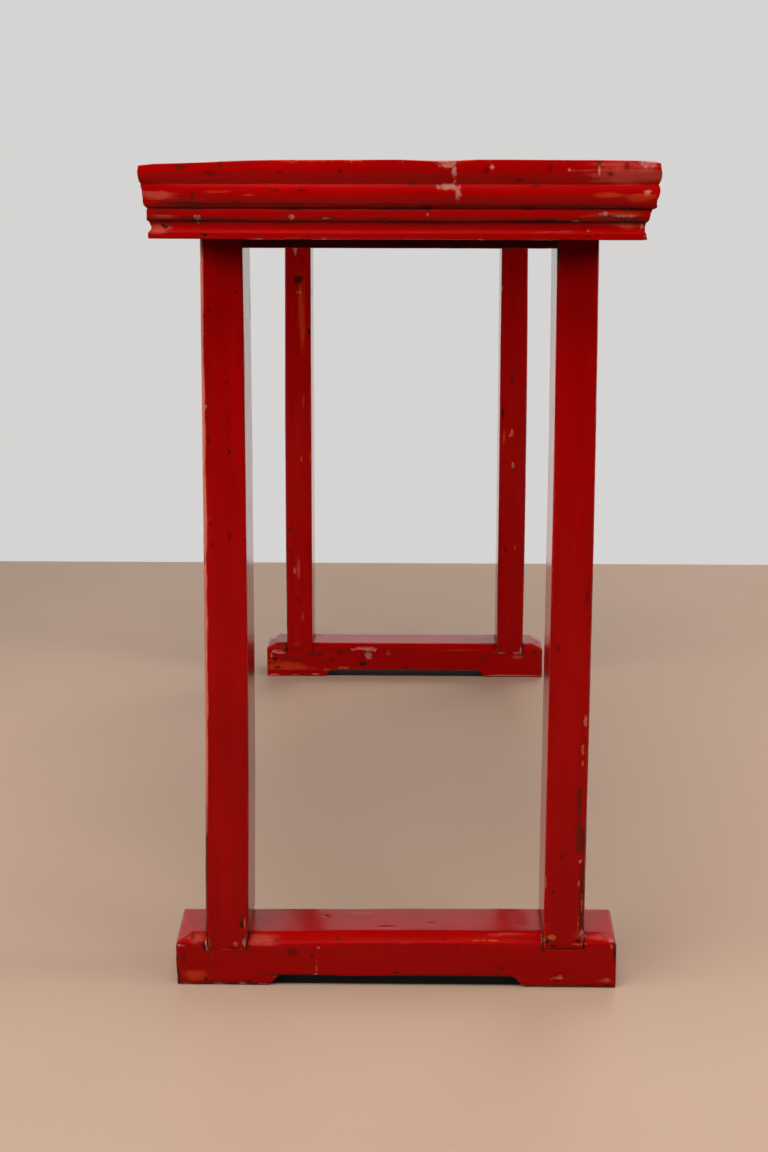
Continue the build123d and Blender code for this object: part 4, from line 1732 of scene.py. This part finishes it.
# Each row: a mark's middle across and up, its half width and half height and, where it is cut into
# the wood, how deep, all in millimetres.
MARKS: dict[Face, dict[MarkKind, tuple[tuple[float, ...], ...]]] = {
    Face.END: {
        # The row at -222.7 mm paints a pale pink sheen on the round near the front corner.
        MarkKind.HAZE: (
            (219, 840, 42, 7), (-222.7, 819.5, 19.2, 3.1), (-217.5, 799.3, 15.2, 2),
            (-223.4, 786, 10.4, 4.7), (208.8, 791.7, 18.5, 2.8), (141.8, 785.6, 26.5, 1.5),
        ),
        MarkKind.STAIN: (
            (-165.4, 847.3, 2, 3.4), (-202.2, 845.2, 4, 2.7), (-118.4, 823.7, 2.7, 1.3, 0.2),
            (-190.6, 818.5, 1.9, 3.5, 0.2), (-180.3, 811.1, 33.7, 2),
            (-186.2, 795.3, 5.1, 2.7, 0.2), (-195, 795.9, 38.6, 1.5, 0.3),
            (-68.1, 797.1, 13.6, 1.6), (-85.8, 780.9, 4.8, 0.8, 0.2), (-153, 813.1, 16, 1.2),
            (14.1, 829.8, 5.6, 1.9), (185.2, 847.3, 1.3, 3.1, 0.2), (194.1, 806.7, 27.2, 1.7),
            (208.7, 796.8, 26.4, 2.3, 0.6), (130.4, 794.7, 34.4, 1.2, 0.3),
            (156.1, 789.3, 3.3, 3.2), (212, 796.5, 26, 2.6), (221, 806.4, 12, 1.6, 0.2),
            (198, 799.5, 7, 1.4, 0.3), (137, 796.2, 9, 1.2, 0.2), (203, 798.6, 19, 2.8),
            (224, 798.2, 14, 3), (-223, 803, 9, 2.2, 0.2), (-204, 812, 20, 1.8),
        ),
        # Dents and smudges; the three long rows at about 810 mm paint shade in a band under the
        # round.
        MarkKind.DENT: (
            (-174.3, 839, 4.9, 2.7, 0.3), (-109.5, 839.6, 2.7, 1.6), (-112.8, 823.5, 4.8, 1.2),
            (-88.8, 823.6, 7.2, 1.1), (-122.5, 811.2, 8.8, 1.2), (81.8, 841.5, 3.2, 2.7),
            (112.6, 833.3, 4.3, 2.2), (128.3, 827.5, 4.5, 1.7), (140.7, 843.5, 2.8, 3.3),
            (195.8, 838.9, 3.2, 2), (210.7, 845.2, 3.3, 2.8), (27.8, 807.8, 5.6, 2, 0.3),
            (122.2, 806.5, 6.4, 1.4, 0.3), (150.9, 808.3, 3.6, 1.9, 0.3),
            (160.6, 805.8, 4, 1.4, 0.3), (-130, 810.5, 110, 1.7), (20, 810.2, 120, 1.5),
            (150, 810, 80, 1.7),
        ),
        MarkKind.THIN: (
            (-168.1, 822, 15.2, 2), (-138.5, 819.1, 7.2, 1.6), (-154.9, 786.8, 12.9, 1.4),
            (194.6, 819.8, 13.6, 2.5), (224.1, 818.3, 11.2, 2.8), (214.9, 803.4, 12, 1.4, 0.3),
            (206, 801, 26, 5.5), (222, 802, 14, 5), (212, 791, 24, 4),
        ),
        MarkKind.PALE: (
            (-187, 796.9, 2.7, 3.5, 0.4), (-100.2, 798.5, 2.4, 1.9, 0.4),
            (-68, 797.8, 5.6, 1.1, 0.3), (47.5, 847.4, 8, 3.1, 0.3), (52.4, 838.6, 2.1, 7.5, 0.3),
            (53.5, 831.9, 1.8, 1.7, 0.2), (46.4, 826.8, 7.7, 3.1, 0.4), (55.7, 819.5, 2.5, 6, 0.3),
            (158.3, 842, 1.2, 2.2, 0.1), (229.8, 847.1, 7.2, 2.3, 0.2),
            (230.1, 822.3, 3.6, 1.9, 0.3), (27.8, 801.1, 1.1, 1.3, 0.2),
            (190.7, 802.4, 4.8, 1.9, 0.3), (210.2, 800.4, 13.6, 1.1, 0.3),
            (165.6, 795.1, 4.2, 1.1, 0.3), (226.8, 790.8, 2.8, 2.7, 0.3), (233, 780.5, 4, 2.4, 0.3),
        ),
        MarkKind.DARK: (
            (-217.7, 789.2, 2.7, 2.2, 0.4), (-180.8, 781.8, 4, 1.9, 0.4), (-18.3, 797.6, 17.6, 0.9),
            (224.3, 789.3, 2.1, 2.1, 0.3), (176.4, 780.9, 3.6, 1.9, 0.3),
            (231.8, 780.4, 3.3, 2.4, 0.4),
        ),
        MarkKind.RUB: (
            (87.4, 843.7, 1.9, 1.9, 0.4), (185.4, 841.4, 1.2, 3.6, 0.2),
        ),
        MarkKind.BARE: (
            (177, 786.9, 1.3, 1.4, 0.3),
        ),
    },
    Face.NEAR: {
        # These rows paint a highlight along the outer arris of the front right leg.
        MarkKind.RUB: (
            (-193, 735, 2, 50), (-193.2, 660, 2, 60), (-193.5, 580, 2, 60), (-193.8, 500, 2, 60),
            (-194.1, 415, 2, 60), (-194.3, 330, 2, 60), (-194.6, 250, 2, 60),
        ),
        # The two rows at about -193 mm across, high up, paint a pale highlight on that arris.
        MarkKind.PALE: (
            (-193.2, 752, 0.7, 17), (-193.6, 700, 0.6, 30), (-191.2, 609.5, 1.3, 3.1, 0.2),
            (-196.8, 48.1, 1.9, 8.1, 0.6), (-156.4, 47.7, 2.6, 4.9, 0.6),
            (-225.7, 44.9, 4.6, 1.3, 0.3), (-219.5, 0.9, 5.4, 0.9, 0.5),
            (-182.4, 1.2, 5.9, 1.1, 0.7), (-162.3, 1.9, 4.6, 1.3, 0.8),
            (-139.2, 1.1, 5.4, 0.6, 0.3), (-187, 1.5, 3.1, 1, 0.6), (-85.1, 12.8, 2.3, 1.3, 0.5),
            (-81.1, 42.2, 1.1, 1.1, 0.2), (224.1, 50.1, 4.5, 1.2, 0.3),
            (151.4, 57.3, 1.6, 7.9, 0.6), (154.2, 50.5, 2, 1.7, 0.4), (197.1, 53.7, 1.5, 1.6, 0.3),
            (193.2, 60.3, 1.9, 5.5, 0.5), (-158, 725.5, 0.7, 0.7, 0.1),
            (191.5, 288.8, 1.5, 4.7, 0.3), (189.6, 139, 1.3, 1.4, 0.3),
            (189.1, 115.5, 1.1, 2.8, 0.2),
        ),
        MarkKind.THIN: (
            (-193.8, 600, 2.4, 170), (-195.2, 350, 2.2, 170), (-208.6, 8.5, 15.4, 5.6),
            (128.3, 50.1, 18, 0.6), (219.1, 8.4, 8.3, 2.3), (-176, 40.6, 11, 0.8),
        ),
        MarkKind.DENT: (
            (-169, 598.9, 1.5, 3.6), (-188.1, 577.4, 1.5, 3.1), (-188.3, 492.1, 1.2, 3.1),
            (-170, 479.2, 1.5, 5.2), (-186.1, 470.8, 1.8, 2.6, 0.2), (-155.7, 476.1, 1.5, 1.6),
            (-126.2, 75.9, 3, 2.1), (-88.8, 34.3, 2.4, 2.6), (-108.8, 37.4, 5.8, 4.8),
            (93.7, 60.4, 3.5, 1.2, 0.2), (59.3, 55.4, 2.6, 1.6), (50.3, 50.6, 3, 2.4),
            (-186.6, 717.2, 1.7, 1.3), (-185.8, 706.2, 2.2, 3.1), (-187.1, 684.7, 1.3, 1.5),
            (-187.3, 669.1, 1.3, 1.8), (-186, 651.4, 1.2, 2.1), (-170.9, 634.8, 1.8, 2.4, 0.2),
            (-160.1, 723.9, 2.6, 2.4), (189.6, 420.4, 2.1, 9.9), (161.7, 366.1, 2.3, 4.2),
            (182.5, 176, 1.6, 2.3), (171, 143.9, 2, 2.8),
        ),
        MarkKind.DARK: (
            (-168.9, 565.6, 1.2, 2, 0.2), (-160.8, 68.1, 2.3, 4.2, 0.2),
            (-169.5, 41.8, 5.4, 1.1, 0.3), (-200.3, 43.6, 1.6, 4.9, 0.3),
            (-150.9, 58.2, 3.8, 2.4, 0.3), (-228.3, 8.3, 1.9, 9, 0.4), (-197, 6.6, 2.3, 1.6),
            (-153.8, 4.1, 2.8, 1.3, 0.3), (-1.1, 14.8, 4.6, 1.1, 0.4), (170.3, 7.3, 6, 0.9, 0.6),
            (228.1, 38.1, 1.3, 11.9, 0.3), (157.5, 50.2, 3, 2.7, 0.5), (162.8, 44.5, 4.5, 1.1, 0.4),
            (148.7, 64.4, 1.7, 11.1, 0.3), (189.7, 50.5, 3, 2, 0.3), (220.7, 3.3, 9, 0.7, 0.4),
            (171.1, 2.2, 9, 0.6, 0.3), (162.4, 105.7, 1.9, 2.6, 0.2),
        ),
        MarkKind.STAIN: (
            (-194.6, 120, 1.6, 110), (-159.9, 74, 1.3, 9.7), (-153.8, 77.3, 1.3, 21.8, 0.3),
            (-186.5, 40.3, 10, 0.9, 0.3), (-164.2, 40.5, 6.1, 0.9), (-211.7, 52.5, 3, 4),
            (-204.1, 47.7, 4.6, 1.6), (-125.6, 49.6, 3.5, 1.6, 0.2), (-220.6, 28, 1.4, 10.6, 0.2),
            (-22.7, 44.6, 2, 2.1), (-61.1, 51.1, 3.8, 2.1), (-93.5, 20.9, 1.5, 1.6),
            (63.1, 43.1, 2.6, 2.7, 0.3), (110.4, 19.6, 6, 2.7, 0.2), (127.2, 24.5, 2.6, 1.9, 0.2),
            (107.7, 15.6, 3.3, 1.6, 0.2), (176.3, 42.7, 17.2, 1, 0.5),
            (192.3, 80.5, 1.9, 22.1, 0.3), (190.8, 269.7, 1.2, 2.7, 0.2),
            (189.2, 233.3, 1.2, 5.4, 0.3), (187.3, 203.2, 3.2, 15.8, 0.3),
            (187.6, 170.2, 3, 17.9, 0.3), (192.1, 110.7, 2.6, 18.8, 0.4),
            (-229.3, 26, 1.5, 22, 0.2), (-181, 1.6, 44, 1.7, 0.3), (190, 1.6, 34, 1.7, 0.3),
            (-98, 11.6, 30, 1.2, 0.3), (58, 11.6, 60, 1.2, 0.3), (192.4, 160.6, 1.3, 10.4, 0.2),
        ),
        MarkKind.BARE: (
            (-165.6, 47, 2.6, 2.3, 0.4), (-157.7, 69.1, 0.6, 8.9, 0.2),
            (-161.1, 41.2, 2.3, 0.6, 0.3), (-84, 21, 0.6, 8.2, 0.3), (-120.6, 9.7, 8.5, 0.4, 0.3),
            (89.3, 49.5, 18, 0.4, 0.3), (169.4, 10.5, 6.5, 1.7, 0.8), (171.2, 12.5, 2.3, 1.6, 0.8),
            (163.1, 9.5, 1.7, 0.8, 0.4), (225, 44.1, 1.3, 2.7, 0.3), (162.4, 54.5, 3, 2.4, 0.4),
            (191.2, 47, 7.5, 0.9, 0.4), (189.3, 68.7, 0.9, 8.7, 0.3), (219.8, 9.4, 3.3, 0.8, 0.4),
            (189.1, 258.8, 1.4, 4.1, 0.5), (189.4, 244.4, 1.1, 3.7, 0.5),
            (154.6, 114.6, 0.7, 7.7, 0.3), (189.2, 69.8, 1.1, 7.7, 0.4),
            (192.6, 93.9, 0.8, 8.4, 0.4),
        ),
        MarkKind.HAZE: (
            (-137.1, 51.2, 16.9, 4.7), (-207.9, 50.1, 14.5, 4.8), (207.5, 55.4, 14.3, 5.4),
            (117.7, 53.8, 31.5, 2.6), (143.2, 54, 7.5, 2.8),
        ),
    },
    Face.FAR: {
        MarkKind.PALE: (
            (-68.4, 48.8, 17, 3.4, 1.2), (-85.5, 47.6, 4.5, 1.5, 0.6), (-52.5, 46.6, 3.5, 2.6, 0.6),
            (-205, 40.2, 8, 1.5, 0.5), (-218, 42.5, 4, 2.2, 0.5), (-222.5, 36, 1.6, 5, 0.4),
            (163, 42.6, 8, 0.9, 0.4), (186, 41.5, 6, 0.9, 0.4), (192.5, 46.5, 0.9, 5.5, 0.4),
            (-60.7, 36.5, 5, 6, 0.6), (194.8, 46.2, 1.6, 5, 0.4),
        ),
        MarkKind.STAIN: (
            (-197, 44.5, 6, 2.4, 0.3), (-118, 44.8, 26, 2, 0.3), (-66, 41, 11, 6, 1),
            (-181.4, 6.4, 3.7, 2.5, 0.3), (-211.9, 14.1, 3.6, 2.5, 0.3),
            (-161.5, 5.9, 3.7, 2.2, 0.3), (-190, 30, 22, 2.4), (-150, 38, 14, 2),
            (132.6, 34.9, 3.2, 2.4), (216.1, 44.8, 6.1, 3.1), (175.1, 43.6, 16.7, 1.2, 0.2),
            (0.3, 16.3, 4, 2.4), (-21.2, 47.6, 150, 1.3), (-190, 250, 2.8, 3.3),
            (-190, 215, 2.2, 2.8),
        ),
        MarkKind.THIN: (
            (90, 47.2, 60, 1.3), (-195.1, 17.4, 33.5, 9.2), (-168, 600, 4.4, 50),
        ),
        MarkKind.DARK: (
            (-71.4, 21.9, 6.5, 4.5, 0.8), (-216.3, 28.9, 4.6, 3.2, 0.3), (-173, 661, 6.1, 7.2, 0.5),
            (-181, 725, 2.2, 4.4),
        ),
        MarkKind.HAZE: (
            (-27.8, 41.8, 5, 5), (-204, 42.4, 9.1, 3.1), (187.4, 35.3, 7.6, 1.8),
        ),
        MarkKind.DENT: (
            (-108, 40.8, 6.7, 2.8, 0.3), (-123.3, 28.8, 4, 3.4, 0.3), (-167, 690, 2.2, 5.6),
        ),
        MarkKind.BARE: (
            (-130.9, 11.5, 4, 2, 0.8), (-100.4, 14.7, 11, 1.9, 1), (-171, 640, 4.4, 1.7),
            (-195, 540, 1.7, 7.8),
        ),
        MarkKind.RUB: (
            (183.3, 2.8, 42, 1, 0.3), (-216.6, 2.5, 9.2, 1.3, 0.4), (-182.9, 2, 7.6, 1.2, 0.4),
            (-149.3, 3.5, 7.6, 1.3, 0.4),
        ),
    },
}


@dataclass(frozen=True)
class Strewing:
    """How many marks fall by chance on each face, all but the end with the listed marks."""

    long_side: int = 95
    far_end: int = 34
    top: int = 90
    leg_outer: int = 16
    leg_inner: int = 8
    leg_edge: int = 12
    foot_side: int = 26
    foot_top: int = 12
    foot_end: int = 6
    near_gap: float = 0.02
    first_seed: int = 40

    def faces(self) -> Iterable[Scatter]:
        """Takes the faces in turn, with a seed for each.

        Yields:
            One scatter for each face.
        """
        seeds = itertools.count(self.first_seed)
        end, far_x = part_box("top_rail_right")[1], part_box("top_rail_left")[0].x
        low_z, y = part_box("base_moulding_right")[0].z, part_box("top_rail_back")[1].y
        spans = [
            ((far_x, side, low_z), (end.x - self.near_gap, side, end.z), self.long_side, 0)
            for side in (-y, y)
        ]
        spans.append(((far_x, -y, low_z), (far_x, y, end.z), self.far_end, 1))
        spans.append(((far_x, -y, end.z), (end.x, y, end.z), self.top, 0))
        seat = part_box("foot_rail_right")[1].z
        for end_name, side in itertools.product(("left", "right"), ("front", "back")):
            low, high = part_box(f"leg_{side}_{end_name}")
            outer, inner = (low.y, high.y) if side == "front" else (high.y, low.y)
            for y, count in ((outer, self.leg_outer), (inner, self.leg_inner)):
                spans.append(((low.x, y, seat), (high.x, y, low_z), count, 2))
            for x in (low.x, high.x) if end_name == "left" else (low.x,):
                spans.append(((x, low.y, seat), (x, high.y, low_z), self.leg_edge, 2))
        for end_name in ("left", "right"):
            low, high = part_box(f"foot_rail_{end_name}")
            spans.append(((low.x, low.y, 0.0), (low.x, high.y, high.z), self.foot_side, 1))
            spans.append(((low.x, low.y, high.z), (high.x, high.y, high.z), self.foot_top, 1))
            for y in (low.y, high.y):
                spans.append(((low.x, y, 0.0), (high.x, y, high.z), self.foot_end, 0))
        for span, seed in zip(spans, seeds):
            yield Scatter(*span, seed)


def table_warps() -> tuple[Warp, ...]:
    """The warps of this table, listed one by one.

    Returns:
        One for each row of: where it is centred, how far it reaches and how it pushes.
    """
    x, y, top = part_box("top_rail_right")[1] / MM
    leg_low, leg_high = (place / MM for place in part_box("leg_back_right"))
    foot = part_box("foot_rail_right")[1] / MM
    inner_y, outer_y, foot_y, foot_z = leg_low.y, leg_high.y, foot.y, foot.z
    mid_x, mid_y = (leg_low.x + leg_high.x) / 2, (inner_y + outer_y) / 2
    rows = (
        ((x, 0, top), (140, 480, 12), (0, 0, 1.5)),
        ((x, 120, top), (100, 170, 12), (0, 0, 0.8)),
        ((x, -y, 848), (50, 60, 16), (-0.5, 1.9, 0)),
        ((x, -y, 820), (45, 45, 15), (-3, 3.4, 0)),
        ((x, -y, 829), (45, 45, 6), (0, -1.6, 0)),
        ((x, -y, 793.5), (60, 50, 7), (0, -2.8, 0)),
        ((x, -y, 783), (60, 150, 16), (0, -1, 0.8)),
        ((x, -y, 801), (40, 40, 7), (0, 1.1, 0)),
        ((x, -y, 779), (40, 40, 8), (0, -1.2, 0)),
        ((x, y, 831), (35, 35, 16), (-0.6, 2.6, 0)),
        ((x, y, 812), (40, 50, 12), (0, -0.3, -1)),
        ((x, y, 800), (45, 45, 6), (0, -1.3, 0)),
        ((x, y, 808.3), (40, 40, 5.5), (0, 3.8, 0)),
        ((x, y, 794), (45, 45, 10), (0, 0.7, 0)),
        ((x, y, 784), (45, 45, 6), (0, -1.4, 0)),
        ((-x, -y, 820), (40, 40, 14), (2.4, 2.6, 0)),
        ((-x, y, 819), (35, 35, 13), (1.8, -2.2, 0)),
        ((mid_x, outer_y, 600), (300, 110, 620), (0, 2.9, 0)),
        ((mid_x, -inner_y, 480), (300, 50, 620), (0, 1.2, 0)),
        ((mid_x, -outer_y, 50), (300, 35, 350), (0, -1.3, 0)),
        ((mid_x, -outer_y, 450), (300, 35, 1200), (0, -1.3, 0)),
        ((mid_x, -outer_y, 42), (300, 20, 20), (0, 2.4, 0)),
        ((mid_x, -inner_y, 42), (300, 20, 20), (0, -2.6, 0)),
        ((mid_x, -mid_y, 60), (300, 60, 200), (0, -1.8, 0)),
        ((mid_x, -foot_y, 35), (200, 30, 60), (0, -1.3, 0)),
        ((-mid_x, -outer_y, 400), (300, 110, 1200), (0, -1.6, 0)),
        ((-mid_x, outer_y, 450), (300, 50, 600), (0, 3.2, 0)),
        ((-mid_x, -outer_y, 450), (300, 50, 600), (0, -1.5, 0)),
        ((mid_x, foot_y, foot_z), (200, 450, 50), (0, 0, 1.7)),
        ((mid_x, -foot_y, foot_z), (200, 300, 50), (0, 0, -1.4)),
        ((-mid_x, 0, foot_z), (200, 400, 30), (0, 0, -1.4)),
    )
    return tuple(Warp(*(tuple(value * MM for value in part) for part in row)) for row in rows)


def table_ageing() -> Ageing:
    """The dips, warps and marks of this table."""
    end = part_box("top_rail_right")[1]
    far_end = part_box("top_rail_left")[0]
    roll_head = end.z - MouldedEdge.fascia_height
    dips = (
        Dip((end.x, -end.y), (0.16, 0.14), 2.4 * MM),
        Dip((end.x - 0.36, -end.y), (0.62, 0.15), 2.8 * MM),
        Dip((end.x, -end.y), (0.03, 0.016), 1.2 * MM),
        Dip((end.x, end.y), (0.04, 0.024), 1.9 * MM),
        Dip((end.x, 0.038), (0.05, 0.04), 1.3 * MM),
        Dip((far_end.x, -end.y), (0.06, 0.05), 2.0 * MM),
        Dip((far_end.x, end.y), (0.08, 0.09), 2.4 * MM),
        Dip((-0.25, end.y), (0.15, 0.03), 1.2 * MM),
    )
    marks = tuple(
        Mark(
            kind,
            (face.x, y * MM, z * MM),
            (MARK_DEPTH[face], wide * MARK_SPREAD * MM, tall * MARK_SPREAD * MM),
            cut[0] * MM if cut else 0.0,
        )
        for face, kinds in MARKS.items()
        for kind, rows in kinds.items()
        for y, z, wide, tall, *cut in rows
    )
    marks += tuple(itertools.chain.from_iterable(scatter.strew() for scatter in Strewing().faces()))
    return Ageing(
        marks=marks, dips=dips, warps=table_warps(), dip_floor=roll_head, dip_ceiling=end.z
    )


def main() -> None:
    """Builds the table's looks, then the studio."""
    logging.basicConfig(level=logging.INFO, format="%(name)s: %(message)s")
    shop = Workshop(Sweep(), table_ageing())
    for assembly in (MouldedEdge(), PanelBoards(), Legs(), Rails(), FootRails()):
        assembly.build(shop)
    BareWood().dress()
    Studio().build()


if __name__ == "__main__":
    main()
